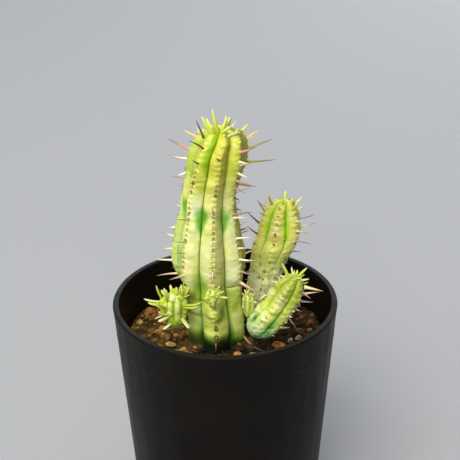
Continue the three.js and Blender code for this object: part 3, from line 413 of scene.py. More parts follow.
def spine(heap, foot, d, length, r, sort, sink=0.7, bend=None, rs=None):
    d = np.asarray(d, float)
    d = d / np.linalg.norm(d)
    foot = np.asarray(foot, float)
    rs = rs or rng
    if bend is None:
        bend = rs.normal(size=3) * 0.05
        bend = bend - d * (bend @ d)
    a = foot - d * sink
    c = foot + d * length
    b = (a + c) / 2 + np.asarray(bend) * length
    n = 9
    P = bezier(a, b, c, n)
    t = np.linspace(0, 1, n)
    if sort == "leaf":
        prof = r * np.interp(t, [0, 0.15, 0.45, 0.8, 0.95, 1], [1.0, 1.0, 1.0, 0.72, 0.42, 0.2])
    else:
        prof = r * np.interp(t, [0, 0.08, 0.2, 0.6, 0.9, 1], [1.5, 1.25, 0.95, 0.62, 0.25, 0.06])
    v, f = sweep(P, prof, 8, 0.8)
    k = TYPES[sort]
    cols = np.array([[np.interp(x, [0, 0.5, 1], [k[0][i], k[1][i], k[2][i]]) for i in range(3)] for x in t])
    jit = rs.uniform(0.93, 1.06)
    cv = np.concatenate([np.repeat(cols, 8, axis=0), cols[:1], cols[-1:]]) * jit
    heap.add(v, f, cv)


def fat(sort):
    """how much thicker each sort looks than its listed core radius"""
    return 1.35 if sort in ("leaf", "olive", "pale", "redyel", "pink") else 1.2


def ring_scar(heap, at, out, up, size, colour):
    """the corky rim left by a shed spine"""
    out = out / np.linalg.norm(out)
    side = np.cross(up, out)
    side /= np.linalg.norm(side)
    up = np.cross(out, side)
    n, m = 10, 5
    v = []
    for i in range(n):
        a = 2 * np.pi * i / n
        dr = np.cos(a) * side * 0.8 + np.sin(a) * up
        for j in range(m):
            b = 2 * np.pi * j / m
            v.append(at + dr * size * (1 + 0.36 * np.cos(b)) + out * (0.34 * size * np.sin(b) + 0.05))
    f = []
    for i in range(n):
        for j in range(m):
            f.append((i * m + j, ((i + 1) % n) * m + j, ((i + 1) % n) * m + (j + 1) % m, i * m + (j + 1) % m))
    heap.add(np.array(v), f, colour)


# ------------------------------------------------------------------ ribbed stems
HALF = np.array([0, 0.025, 0.06, 0.10, 0.15, 0.22, 0.3, 0.4, 0.5, 0.6, 0.7, 0.79, 0.86, 0.91, 0.95, 0.98])


class Ribbed:
    """A ribbed stem. Sections by station s: centre, crest radius, groove ratio, and a bearing and fade per rib."""

    def __init__(self, s_tab, centre, radius, groove, crests, fades=None, frame=None, pitch=2.15, seed=0, scales=None, fill=None):
        self.s_tab = s_tab
        self.c = [pchip(s_tab, [p[i] for p in centre]) for i in range(3)]
        self.R = pchip(s_tab, radius)
        self.g = pchip(s_tab, groove)
        self.a = [pchip(s_tab, a) for a in crests]
        self.n = len(crests)
        self.f = [pchip(s_tab, x) for x in fades] if fades else [lambda s: np.ones_like(np.asarray(s, float))] * self.n
        self.frame = frame or (np.array([1.0, 0, 0]), np.array([0, -1.0, 0]), np.array([0, 0, 1.0]))
        self.k = [pchip(s_tab, x) for x in scales] if scales else [lambda s: np.ones_like(np.asarray(s, float))] * self.n
        self.fill = fill or [lambda s: 0.0 * np.asarray(s, float)] * self.n
        self.pitch = pitch
        self.phase = np.random.default_rng(seed).uniform(0, 1, self.n)
        self.seed = seed

    def centre(self, s):
        return np.stack([f(s) for f in self.c], -1)

    def crest_radius(self, i, s):
        g = self.g(s)
        return self.R(s) * (g + 0.02 + (0.98 - g) * self.f[i](s)) * self.k[i](s)

    def crest(self, i, s, lift=0.0):
        a = np.radians(self.a[i](s))
        r = self.crest_radius(i, s) + lift
        S, F, _ = self.frame
        return self.centre(s) + np.sin(a)[..., None] * r[..., None] * S + np.cos(a)[..., None] * r[..., None] * F if np.ndim(s) else self.centre(s) + math.sin(a) * r * S + math.cos(a) * r * F

    def out(self, i, s):
        a = math.radians(float(self.a[i](s)))
        S, F, _ = self.frame
        return math.sin(a) * S + math.cos(a) * F

    def surface(self, s, bulge=0.085, crease=0.45, tub=0.42, tub_w=1.25, wrinkle=0.22, extra=None):
        """points (rings, columns, 3) and, per point, rib interval, side (0 or 1) and u from crest to groove"""
        s = np.asarray(s, float)
        c = self.centre(s)
        R, g = self.R(s), self.g(s)
        cols, idx, side, us = [], [], [], []
        for i in range(self.n):
            j = (i + 1) % self.n
            a = np.radians(self.a[i](s))
            b = np.radians(self.a[j](s) + (360 if j == 0 else 0))
            ra, rb = self.crest_radius(i, s), self.crest_radius(j, s)
            w = 0.5 + 0.38 * (self.f[i](s) - self.f[j](s))
            A = np.stack([np.sin(a) * ra, np.cos(a) * ra], -1)
            B = np.stack([np.sin(b) * rb, np.cos(b) * rb], -1)
            m = a + (b - a) * w
            gi = g + self.fill[i](s)
            Gp = np.stack([np.sin(m) * R * gi, np.cos(m) * R * gi], -1)
            seq = [(0, u) for u in HALF] + [(0, 1.0)] + [(1, u) for u in HALF[:0:-1]]
            for sd, u in seq:
                E = A if sd == 0 else B
                rib = i if sd == 0 else j
                L = np.linalg.norm(E - Gp, axis=1)
                p = E * (1 - u) + Gp * u
                nrm = np.stack([(E - Gp)[:, 1], -(E - Gp)[:, 0]], -1) / (L[:, None] + 1e-9)
                sgn = np.sign((nrm * p).sum(1))
                nrm = nrm * sgn[:, None]
                fl = self.f[rib](s)
                p = p + nrm * (bulge * R * (4 * u * (1 - u)) ** 0.75 * (0.4 + 0.6 * fl))[:, None]
                d = u * L
                out = p / (np.linalg.norm(p, axis=1)[:, None] + 1e-9)
                edge = np.clip(L / 4.0, 0, 1)
                th = (s / self.pitch + self.phase[rib]) * 2 * np.pi
                tb = np.abs(np.cos(th / 2)) ** 0.7
                big = tub(s) if callable(tub) else tub
                wide = tub_w(s) if callable(tub_w) else tub_w
                wob = 0.75 + 0.5 * vnoise(np.stack([s / self.pitch * 0.8, 0 * s + rib * 7.3, 0 * s], -1), 1.0, self.seed + 40)
                h = -0.22 * np.exp(-((d / 0.4) ** 2)) + big * wob * (tb - 0.62) * np.exp(-((d / wide) ** 2)) * fl
                cr = crease(s) if callable(crease) else crease
                h = h - cr * np.exp(-(((1 - u) * L / 0.38) ** 2))
                p = p + out * (h * edge)[:, None]
                cols.append(p)
                idx.append(i)
                side.append(sd)
                us.append(u)
        P2 = np.stack(cols, 1)
        S, F, A3 = self.frame
        P = c[:, None, :] + P2[..., 0:1] * S + P2[..., 1:2] * F
        rad = P - c[:, None, :]
        rad /= np.linalg.norm(rad, axis=2)[..., None] + 1e-9
        wr = (fbm(P * np.array([1, 1, 1.7]), 5.5, self.seed + 5) - 0.5) * 3.2 + (fbm(P * np.array([1, 1, 2.0]), 2.0, self.seed + 6, 2) - 0.5) * 1.3
        wk = wrinkle(s)[:, None] if callable(wrinkle) else wrinkle
        P = P + rad * (wr * wk)[..., None]
        info = (np.array(idx), np.array(side), np.array(us))
        if extra is not None:
            P = extra(P, rad, s, info)
        return P, info

    def mesh(self, name, s, paint, material, end0, end1, **kw):
        P, info = self.surface(s, **kw)
        n = P.shape[1]
        V = np.concatenate([P.reshape(-1, 3), [end0, end1]])
        C = paint(P, np.asarray(s, float)[:, None] * np.ones(n), *[x[None, :] * np.ones((len(s), 1), x.dtype) for x in info])
        C = np.concatenate([C.reshape(-1, 3), C[0, :1], C[-1, :1]])
        return mesh_object(name, V, ring_faces(len(s), n), C, material)


def dome_stations(a, b, top, fine, n_top):
    """even steps from a to b, then closer and closer up to top"""
    s = np.arange(a, b, fine)
    q = np.linspace(0, 1, n_top, endpoint=False)
    return np.concatenate([s, b + (top - b) * (1 - (1 - q) ** 2)])


# ---- main stem
STEM = Ribbed(
    STEM_Z,
    [(x, -1.0, z) for x, z in zip(STEM_X, STEM_Z)],
    STEM_R,
    STEM_GROOVE,
    [STEM_CRESTS[k] for k in "ABCDEFZ"],
    [[1.0] * len(STEM_Z)] * 5 + [STEM_FADE, STEM_FADE],
    seed=3,
    scales=[list(np.interp(STEM_Z, [0, 1], [1, 1])) for _ in range(3)]
    + [list(np.interp(STEM_Z, [140, 148, 152, 158, 164, 167], [1, 1.1, 1.15, 1.12, 1.07, 1.0]))]
    + [list(np.interp(STEM_Z, [0, 1], [1, 1])) for _ in range(3)],
    fill=[lambda s: 0.09 * step(s, 150, 158) * (1 - step(s, 166, 168))] + [lambda s: 0.0 * s] * 6,
)
RIB = {k: i for i, k in enumerate("ABCDEFZ")}


def stem_extra(P, rad, s, info):
    idx, side, u = info
    z = s[:, None]
    h = np.zeros(P.shape[:2])
    # growth constrictions, strongest in the flanks
    def pinch(zc, interval, sd, depth, w=0.7, slope=0.0):
        sel = ((idx == interval) & (side == sd))[None, :]
        zz = zc + slope * u[None, :]
        return np.where(sel, -depth * G(z, zz, w) * np.sin(np.pi * np.clip(u[None, :] * 0.9 + 0.1, 0, 1)) ** 0.5, 0)
    h += pinch(105.6, 1, 1, 0.55, 0.6)
    h += pinch(99.3, 0, 1, 0.28, 0.6, 1.0)
    h += pinch(92.8, 0, 0, 0.35, 0.7, -1.0)
    h += pinch(93.5, 0, 1, 0.1, 0.7, -1.0)
    h += pinch(150.2, 0, 0, 0.35, 1.0)
    h += pinch(149.0, 1, 0, 0.3, 0.8)
    h += pinch(131.0, 1, 0, 0.25, 0.8)
    for i in (2, 3, 4, 5, 6):
        h += pinch(104 + 3 * i, i, 0, 0.35, 0.7)
        h += pinch(147 - 4 * i, i, 1, 0.3, 0.8)
    # swelling of a sleeping bud on the front rib
    b = STEM.crest(1, np.array([95.0]))[0]
    dist = np.linalg.norm((P - b) * np.array([1, 1, 0.85]), axis=2)
    h += 1.7 * np.exp(-((dist / 2.5) ** 2)) + 0.45 * (vnoise(P, 1.1, 91) - 0.5) * 2 * np.exp(-((dist / 2.8) ** 2))
    for zc, dx, am in ((97.6, -0.9, 0.5), (96.2, 0.6, 0.6), (94.6, -0.5, 0.6), (93.2, 0.9, 0.55), (91.8, -0.2, 0.45), (99.2, -1.4, 0.4), (96.8, -2.4, 0.35), (94.0, -2.2, 0.35)):
        q = STEM.crest(1, np.array([zc]))[0] + np.array([dx, 0, 0])
        h += am * np.exp(-((np.linalg.norm(P - q, axis=2) / 0.85) ** 2))
    b = STEM.crest(1, np.array([91.0]))[0] + np.array([1.6, -0.2, 0])
    h -= 0.35 * np.exp(-((np.linalg.norm(P - b, axis=2) / 1.3) ** 2))
    # slow swell of each season's growth
    h += (0.06 + 0.2 * step(z, 100, 110)) * np.sin(z * 0.68 + 1.1 * idx[None, :] + 2.2 * fbm(P, 11.0, 90)) * np.sin(np.pi * np.clip(u[None, :], 0, 1)) * (1 - step(z, 158, 166))
    # swollen young tubercles round the crown
    for rib in range(7):
        for zc, off, amp in ((166.4, 0.2, 0.9), (162.6, 0.1, 0.8), (158.6, 0.0, 0.55)):
            zc = zc - 0.5 * ((rib * 5) % 3)
            c = STEM.crest(rib, np.array([zc]), -0.8)[0]
            h += amp * np.exp(-((np.linalg.norm((P - c) * np.array([1, 1, 0.9]), axis=2) / 1.7) ** 2))
    return P + rad * h[..., None]


CREAM, YELLOW, LIME, GREEN = (242, 240, 186), (226, 226, 98), (170, 206, 38), (84, 158, 34)
PALE_GREEN, DEEP, DARK = (176, 206, 118), (58, 112, 26), (34, 30, 14)


def stem_paint(P, z, idx, side, u):
    idx, side = idx.astype(int), side.astype(int)
    n1 = fbm(P * np.array([1, 1, 0.55]), 6.0, 11)
    n2 = fbm(P * np.array([1, 1, 0.5]), 2.2, 12)
    n3 = fbm(P, 13.0, 19)
    n4 = fbm(P * np.array([1, 1, 1.6]), 3.4, 23)
    streak = fbm(P * np.array([1, 1, 0.16]), 1.3, 24)
    col = np.ones(P.shape) * np.array(YELLOW, float)
    # cream middle, yellower head, greener foot
    mid = step(z, 101, 109) * (1 - step(z, 144, 156))
    col = mix(col, CREAM, mid * (0.45 + 0.8 * n1) * (0.7 + 0.3 * np.sin(np.pi * np.clip(u, 0.1, 0.9))))
    col = mix(col, (240, 238, 176), step(n4, 0.5, 0.72) * 0.75 * step(z, 140, 150))
    col = mix(col, (200, 212, 60), (1 - step(n4, 0.3, 0.45)) * 0.65 * step(z, 110, 150))
    col = mix(col, (196, 214, 120), step(n1, 0.5, 0.75) * 0.5 * mid)
    col = mix(col, (248, 246, 222), step(n4, 0.56, 0.74) * 0.7 * mid)
    col = mix(col, (226, 222, 120), (1 - step(n2, 0.3, 0.46)) * 0.55 * mid)
    col = mix(col, (234, 244, 124), (1 - step(z, 97, 108)) * (0.85 + 0.4 * n2))
    col = mix(col, (244, 248, 180), (1 - step(z, 94, 106)) * step(n4, 0.42, 0.62) * 0.8)
    col = mix(col, (150, 190, 60), (1 - step(z, 98, 110)) * (1 - step(n4, 0.3, 0.42)) * 0.5)
    # darker green beside the two front grooves below z 112: painted shade in the grooves
    col = mix(col, (92, 150, 30), np.where((idx == 0) | (idx == 1), (1 - step(z, 98, 112)) * step(u, 0.78, 1.0) * 0.55, 0))
    # lime grooves in the head, narrowing downwards
    wide = 0.5 + 0.42 * (1 - step(z, 150, 165))
    head = step(z, 150, 159) * step(u, wide, wide + 0.3)
    col = mix(col, (160, 190, 20), head * np.where((idx == 0) & (side == 1), 0.15, np.where((idx == 5) | (idx == 3), 0.8, 0.45)))
    on = (idx == 0) & (side == 0)
    edge = 0.9 - 0.62 * step(z, 149.5, 160)
    col = mix(col, (184, 208, 30), np.where(on, step(u, edge - 0.08, edge + 0.1) * step(z, 148.5, 151.5), 0))
    col = mix(col, (156, 196, 8), np.where(on, step(u, edge + 0.08, edge + 0.3) * step(z, 148.5, 151.5) * 0.9, 0))
    on = (idx == 0) & (side == 1)
    col = mix(col, (214, 210, 70), np.where(on, step(z, 150, 156) * 0.7, 0))
    # green wedges in the grooves at mid height
    for i, zc, amp in ((0, 132.4, 0.9), (1, 131.8, 1.0), (2, 130, 0.7), (3, 139, 0.9), (4, 127, 0.8), (5, 134, 0.9), (6, 134, 0.9)):
        on = idx == i
        zz = z + 3.0 * (n1 - 0.5)
        reach = 0.9 - 0.66 * step(zz, zc - 6, zc + 5.0)
        w = step(u + 0.25 * (streak - 0.5), reach, reach + 0.3) * (1 - step(zz + 4.5 * (streak - 0.5), zc + 3.0 + 3 * (1 - u), zc + 7.0 + 3 * (1 - u))) * step(zz, zc - 8, zc - 4)
        col = mix(col, (112, 178, 40), np.where(on, w * amp * 0.7, 0))
        col = mix(col, (88, 160, 14), np.where(on, w * amp * step(u, reach + 0.1, reach + 0.45) * (0.7 + 0.4 * n2), 0))
    # green wash in the lower grooves
    for i, zc in ((0, 108), (5, 112), (6, 106), (3, 104), (2, 110)):
        on = idx == i
        col = mix(col, (136, 180, 50), np.where(on, G(z, zc, 5.0) * step(u, 0.3, 0.95) * 0.9, 0))
    # dark olive near crest A round z 101.5: painted shadow of the leafy offset
    on = (idx == 0) & (side == 0)
    col = mix(col, (96, 116, 26), np.where(on, G(z, 101.5, 2.8) * (1 - step(u, 0.55, 0.95)) * 0.75, 0))
    on = (idx == 0) & (side == 1)
    col = mix(col, (150, 186, 36), np.where(on, G(z, 107, 6) * step(u, 0.05, 0.5) * 0.65, 0))
    on = (idx == 0) & (side == 0)
    col = mix(col, (198, 222, 150), np.where(on, (G(z, 96, 2.6) + G(z, 88, 2.6)) * 0.8, 0))
    # thin dark line along the pinched crease: painted shade
    col = mix(col, (96, 124, 56), np.where(on, G(z, 92.4 - u, 0.5) * 0.55, 0))
    # pale bluish painted highlight above the wedge on the left front flank
    col = mix(col, (226, 236, 218), np.where(on, G(z, 140.5, 4.6) * G(u, 0.55, 0.32) * 0.75, 0))
    col = mix(col, (222, 218, 92), np.where(on, G(z, 150, 1.3) * 0.8, 0))
    # left rear flanks are greener
    on = (idx == 6) | (idx == 5)
    col = mix(col, (180, 204, 96), np.where(on, 0.6 * step(n3, 0.3, 0.6), 0))
    on = (idx == 6) & (side == 1)
    col = mix(col, (92, 164, 72), np.where(on, (G(z, 134, 6) + 0.9 * G(z, 107, 5)) * G(u, 0.7, 0.3), 0))
    on = idx == 6
    col = mix(col, (126, 172, 92), np.where(on, step(streak, 0.54, 0.66) * 0.6 * step(z, 100, 110) * (1 - step(z, 150, 156)), 0))
    # right-hand flanks hold more green and olive, partly their own colour and partly painted shade on the sides turned
    # from the light
    on = (idx == 1) & (side == 0)
    col = mix(col, (166, 164, 78), np.where(on, 0.75 * (0.6 + n1 * 0.5) * (0.5 + 0.5 * step(z, 100, 108)), 0))
    flank = (idx == 1) & (side == 1)
    col = mix(col, (240, 238, 180), np.where(flank, 0.6 * step(z, 104, 112) * (1 - step(z, 138, 150)) * (0.6 + 0.5 * n1) * (1 - 0.95 * G(z, 131, 4.5) * step(u, 0.2, 0.5)), 0))
    col = mix(col, (190, 212, 118), np.where(flank, (G(z, 102.6, 1.8)) * 0.55, 0))
    col = col * (1 - 0.05 * step(z, 134, 150)[..., None])
    # olive head of the same flank: partly its own colour, partly painted shade
    col = mix(col, (168, 160, 30), np.where(on, 0.75 * step(z, 148, 156), 0))
    # olive C–D and D–E flanks: partly their own colour, partly painted shade
    on = (idx == 2) | (idx == 3)
    col = mix(col, (150, 146, 46), np.where(on, 0.8, 0))
    # soft horizontal growth banding
    band = np.sin(z * 1.35 + 3 * n3) * 0.5 + 0.5
    col = col * (1 - 0.05 * band[..., None] * np.array([1.0, 0.6, 1.2]))
    # darker lines along three of the pinched constrictions: painted shade in the creases
    line = G(z, 105.5 + 0.4 * n2, 0.35) * ((idx == 1) & (side == 1)) + G(z, 99.6 + u, 0.4) * (idx == 0) + G(z, 150.4, 0.4) * (idx == 0) * (side == 0)
    col = mix(col, (118, 140, 50), np.clip(line, 0, 1) * 0.6)
    # thin dark line along each groove
    col = mix(col, DEEP, step(u, 0.955, 0.995) * (0.55 + 0.25 * n2))
    col = mix(col, (130, 160, 50), step(u, 0.88, 0.97) * 0.3)
    # crests: yellow tubercles
    col = mix(col, (236, 230, 140), (1 - step(u, 0.0, 0.14)) * 0.6)
    # brown fleck in the left front groove
    f = STEM.centre(np.array([118.5]))[0] + np.array([-3.9, -9.6, 0])
    d = np.linalg.norm((P - f) * np.array([1, 1, 1.3]), axis=2)
    col = mix(col, (140, 92, 20), np.exp(-((d / 1.0) ** 2)) * 0.95)
    # swelling of the sleeping bud
    b = STEM.crest(1, np.array([95.0]))[0]
    d = np.linalg.norm(P - b, axis=2)
    col = mix(col, (214, 214, 92), np.exp(-((d / 2.6) ** 2)) * 0.8)
    # dark spot in the dent below and right of the swelling: painted shade
    b = STEM.crest(1, np.array([91.4]))[0] + np.array([1.8, -0.2, 0])
    col = mix(col, (104, 118, 44), np.exp(-((np.linalg.norm(P - b, axis=2) / 1.5) ** 2)) * 0.7)
    col = col * (1 - 0.055 * step(z, 102, 108))[..., None]
    col = col * (1 - 0.04 * np.where((idx == 0) & (side == 1), step(z, 104, 110) * (1 - step(z, 138, 146)), 0))[..., None]
    mid = (step(z, 100, 108) * (1 - step(z, 134, 142)))[..., None]
    col = col * (np.array([1.02, 1.025, 0.9]) + np.array([0.0, 0.0, 0.08]) * mid) * (1 - np.array([0.0, 0.0, 0.1]) * step(z, 142, 152)[..., None])
    # lighter pool low on the left flank of rib B: painted light
    painted_light = ((idx == 0) & (side == 1)) * G(z, 92, 6.5)
    col = mix(col, (240, 250, 128), painted_light * 0.45 * (1 - step(u, 0.75, 0.95)))
    # dark green, then nearly black foot
    low = z - 3.5 * n1 - 2.5 * u
    col = mix(col, (150, 196, 56), (1 - step(low, 77.5, 82.5)) * 0.7)
    col = mix(col, (66, 106, 24), (1 - step(low, 74.8, 78.6)) * 0.9)
    col = mix(col, (30, 34, 13), (1 - step(low, 73.4, 76.4)) * 0.95)
    # front flanks darker towards the soil line
    foot_level = z + 1.6 * (n2 - 0.5) + 1.5 * (n1 - 0.5)
    on = ((idx == 0) & (side == 1)) | ((idx == 1) & (side == 0))
    col = mix(col, (52, 84, 18), np.where(on, (1 - step(foot_level, 81.2, 85.4)) * 0.8, 0))
    col = mix(col, (17, 26, 6), np.where(on, (1 - step(foot_level, 79.6, 82.8)) * 0.92, 0))
    on = (idx == 0) & (side == 0)
    col = mix(col, (18, 24, 6), np.where(on, (1 - step(foot_level, 79.2, 82.6)) * 0.9, 0))
    on = (idx == 1) & (side == 1)
    col = mix(col, (26, 20, 9), np.where(on, (1 - step(foot_level, 76.8, 78.6)) * 0.9, 0))
    f = np.array([-1.2, -12.3, 81.0])
    col = mix(col, (44, 30, 16), np.exp(-((np.linalg.norm((P - f) * np.array([1, 1, 0.8]), axis=2) / 1.7) ** 2)) * 0.9)
    # dark green painted into the sunk pocket right of the sleeping bud: painted shade
    f = np.array([-0.9, -11.8, 95.0])
    col = mix(col, (74, 96, 20), np.exp(-((np.linalg.norm((P - f) * np.array([1, 1, 0.55]), axis=2) / 1.5) ** 2)) * 0.85)
    on = (idx == 0) & (side == 0)
    col = mix(col, (84, 96, 34), np.where(on, (1 - step(z, 80.5, 85.5)) * 0.7, 0))
    # darker green in the two front grooves near the soil: painted shade in the grooves
    col = mix(col, (34, 70, 14), np.where((idx == 0) | (idx == 1), (1 - step(z, 81, 90)) * step(u, 0.66, 1.0) * 0.8, 0))
    return col


stem = STEM.mesh(
    "main_stem_look",
    dome_stations(71.0, 158.0, 169.42, 0.36, 56),
    stem_paint,
    SKIN,
    (-3.6, -1.0, 70.6),
    (-0.6, -1.0, 169.42),
    extra=stem_extra,
    tub=lambda s: 0.62 + 0.12 * step(s, 150, 160) - 0.48 * (1 - step(s, 92, 106)),
    tub_w=lambda s: 0.8 + 0.4 * step(s, 148, 160),
    wrinkle=lambda s: 0.16 + 0.12 * step(s, 98, 112),
)
stem_spines = Heap()
for rib, z, dx, dy, dz, ln, r, sort in MAIN_SPINES:
    i = RIB[rib]
    spine(stem_spines, STEM.crest(i, float(z)), (dx, dy, dz), ln, r * fat(sort), sort, sink=0.9)
for x, y, z, dx, dy, dz, ln, r, sort in CROWN_SPINES:
    spine(stem_spines, (x, y, z), (dx, dy, dz), ln, r * fat(sort), sort, sink=2.6)
# young leaves round the far side of the crown
for k, z, tilt, ln in (("D", 166.0, 0.9, 4.0), ("E", 166.4, 1.1, 4.2), ("E", 163.4, 0.5, 3.4), ("F", 166.2, 0.9, 4.4), ("D", 162.4, 0.4, 3.2), ("F", 162.8, 0.4, 3.6), ("E", 168.2, 2.4, 3.6), ("F", 168.4, 2.2, 3.2), ("C", 167.4, 1.8, 3.0), ("B", 167.6, 1.2, 1.6), ("A", 166.0, 0.8, 1.5), ("C", 164.6, 0.8, 1.8), ("Z", 166.0, 0.9, 1.9)):
    o = STEM.out(RIB[k], z) + np.array([0, 0, tilt])
    spine(stem_spines, STEM.crest(RIB[k], z, -0.3), o, ln, 0.7, "leaf", sink=1.2)
r2 = np.random.default_rng(8)
for k in "DEFZ":
    i = RIB[k]
    z = 82.0 + r2.uniform(0, 3)
    while z < 166:
        if not (k in "FZ" and z < 106) and not (k == "Z" and z > 0) and not (k == "D" and r2.uniform() < 0.35):
            o = STEM.out(i, z)
            sort = r2.choice(["cream", "pinkbrown", "brown", "creamdark", "pinkpale"])
            d = o + np.array([0, 0, r2.uniform(-0.25, 0.45)]) + r2.normal(size=3) * 0.12
            spine(stem_spines, STEM.crest(i, float(z)), d, r2.uniform(2.2, 6.0), r2.uniform(0.3, 0.45), sort, rs=r2)
        z += r2.uniform(3.6, 5.2)
# scars on every tubercle
for k in "ABCDEFZ":
    i = RIB[k]
    j = 0
    while True:
        z = (j + 1 - STEM.phase[i]) * STEM.pitch
        j += 1
        if z < 80:
            continue
        if z > 160:
            break
        if k in "FZ" and z < 103:
            continue
        strong = (k == "B" and 98 < z < 134) or r2.uniform() < 0.55
        if not strong and r2.uniform() < 0.4:
            continue
        o = STEM.out(i, z)
        s = r2.uniform(0.4, 0.56) * (1.0 if strong else 0.75)
        tone = np.array((118, 76, 38)) * r2.uniform(0.8, 1.3) if strong else np.array((176, 140, 82)) * r2.uniform(0.8, 1.1)
        ring_scar(stem_spines, STEM.crest(i, float(z)) - o * 0.02, o, np.array([0, 0, 1.0]), s, tone)
for z, s in ((88.2, 0.78), (84.2, 0.82), (81.6, 0.7), (91.6, 0.5)):
    o = STEM.out(1, z)
    ring_scar(stem_spines, STEM.crest(1, z) - o * 0.05 + np.array([0.15, 0, 0]), o, np.array([0, 0, 1.0]), s, np.array((84, 62, 36)))
stem_sp = stem_spines.object("main_stem_spines", SPINE)

# ---- rear branch
REAR = Ribbed(
    REAR_Z,
    [(x, 14.0, z) for x, z in zip(REAR_X, REAR_Z)],
    REAR_R,
    list(np.interp(REAR_Z, [104, 112, 118, 124], [0.97, 0.92, 0.82, 0.74])),
    [[a] * len(REAR_Z) for a in REAR_CRESTS],
    pitch=2.3,
    seed=5,
)


def rear_paint(P, z, idx, side, u):
    n1 = fbm(P * np.array([1, 1, 0.6]), 5.0, 31)
    n2 = fbm(P, 2.0, 32)
    n4 = fbm(P * np.array([1, 1, 1.4]), 3.4, 33)
    col = np.ones(P.shape) * np.array((206, 212, 112), float)
    col = mix(col, (228, 226, 92), step(z, 108, 120) * 0.85)
    spot = G(z, 119.5, 2.2) * (1 - step(u, 0.0, 0.4)) * (idx.astype(int) == 1) * (side.astype(int) == 0) + G(z, 119.5, 2.2) * (1 - step(u, 0.0, 0.4)) * (idx.astype(int) == 0) * (side.astype(int) == 1)
    col = mix(col, (186, 140, 88), np.clip(spot, 0, 1) * 0.6)
    col = mix(col, (238, 234, 160), step(z, 110, 120) * step(n4, 0.48, 0.7) * 0.8)
    col = mix(col, (226, 234, 150), (1 - step(z, 98, 114)) * (0.6 + 0.5 * n1))
    col = mix(col, (246, 244, 206), (1 - step(z, 96, 108)) * step(n4, 0.42, 0.62) * 0.95)
    col = mix(col, (226, 238, 180), (1 - step(z, 82, 92)) * 0.7)
    # near-white wash over the lower branch: painted light where the main stem shades it
    col = mix(col, (255, 250, 196), (1 - step(z, 94, 108)) * 0.6)
    col = col * (1 - 0.1 * step(z, 112, 122)[..., None])
    col = mix(col, (150, 194, 20), step(z, 110, 119) * step(u, 0.5 + 0.35 * (1 - step(z, 112, 125)), 0.97) * 0.95)
    col = mix(col, (96, 140, 40), step(u, 0.95, 0.99) * 0.6 * step(z, 110, 117))
    col = mix(col, (84, 128, 40), step(n2, 0.64, 0.74) * (1 - step(z, 106, 114)) * 0.7)
    col = mix(col, (226, 216, 130), (1 - step(u, 0, 0.16)) * 0.45)
    col = mix(col, (70, 84, 34), (1 - step(z, 78, 84 + 3 * n1)) * 0.9)
    return col


rear = REAR.mesh(
    "branch_rear_right_look", dome_stations(70.0, 122.0, 132.3, 0.4, 46), rear_paint, SKIN,
    (12.6, 14.0, 69.6), (24.3, 14.0, 132.35), bulge=0.07, tub=lambda s: 0.22 + 0.7 * step(s, 114, 126), tub_w=lambda s: 0.9 + 1.2 * step(s, 112, 124),
    wrinkle=0.4, crease=lambda s: 0.45 * step(s, 110, 119),
)
rear_spines = Heap()
for k, z, dx, dy, dz, ln, r, sort in REAR_SPINES:
    spine(rear_spines, REAR.crest(int(k), float(z)), (dx, dy, dz), ln, r * fat(sort), sort)
for i in range(6):
    z = 84 + r2.uniform(0, 3)
    while z < 127:
        o = REAR.out(i, z)
        if i in (4, 5) or (i in (0, 3) and z < 106):
            sort = r2.choice(["cream", "purple", "brown", "greybrown"])
            d = o + np.array([0, 0, r2.uniform(-0.2, 0.4)]) + r2.normal(size=3) * 0.1
            spine(rear_spines, REAR.crest(i, float(z)), d, r2.uniform(2.0, 4.6) * (0.6 if z < 95 else 1), 0.33, sort, rs=r2)
        elif r2.uniform() < 0.75:
            ring_scar(rear_spines, REAR.crest(i, float(z)) - o * 0.02, o, np.array([0, 0, 1.0]), r2.uniform(0.34, 0.48), np.array((104, 84, 44)) * r2.uniform(0.8, 1.2))
        z += r2.uniform(3.6, 4.8)
for i, z, tilt, ln, sort in ((0, 128.4, 1.0, 4.2, "tan"), (1, 129.4, 1.4, 3.6, "leaf"), (1, 127.4, 0.7, 2.4, "leaf"), (2, 129.4, 1.4, 3.8, "leaf"), (2, 127.4, 0.6, 2.6, "olive"), (3, 128.8, 1.0, 3.8, "leaf"), (4, 129.0, 1.0, 3.6, "leaf"), (5, 129.0, 1.0, 3.8, "leaf"), (5, 126.4, 0.6, 2.6, "tan"), (0, 126.0, 0.6, 2.2, "olive"), (3, 126.2, 0.5, 2.4, "leaf"), (4, 131.2, 3.0, 2.8, "leaf"), (1, 131.3, 3.0, 2.6, "leaf")):
    spine(rear_spines, REAR.crest(i, z, -0.3), REAR.out(i, z) + np.array([0, 0, tilt]), ln, 0.62, sort, sink=1.2)
rear_sp = rear_spines.object("branch_rear_right_spines", SPINE)

# ---- leaning pup
PA, PB = np.array([10.5, -10.2, 83.9]), np.array([28.6, -10.2, 110.6])
p_axis = (PB - PA) / np.linalg.norm(PB - PA)
p_front = np.array([0, -1.0, 0]) - p_axis * (np.array([0, -1.0, 0]) @ p_axis)
p_front /= np.linalg.norm(p_front)
p_side = np.cross(p_axis, p_front)
tt = np.linspace(0, 1, 25)
PUP = Ribbed(
    list(tt),
    [tuple(PA + (PB - PA) * t + p_side * 1.4 * math.sin(math.pi * t)) for t in tt],
    list(np.interp(tt, [0, 0.03, 0.08, 0.15, 0.25, 0.4, 0.55, 0.7, 0.8, 0.88, 0.94, 0.98, 1], [0, 2.8, 4.6, 5.8, 6.4, 6.6, 6.6, 6.3, 5.7, 4.8, 3.7, 2.3, 0])),
    list(np.interp(tt, [0, 0.15, 0.35, 0.6, 1], [0.96, 0.93, 0.86, 0.78, 0.7])),
    [[a] * 25 for a in (-99, -28, 43, 118, 200)],
    frame=(p_side, p_front, p_axis),
    pitch=0.072,
    seed=9,
)
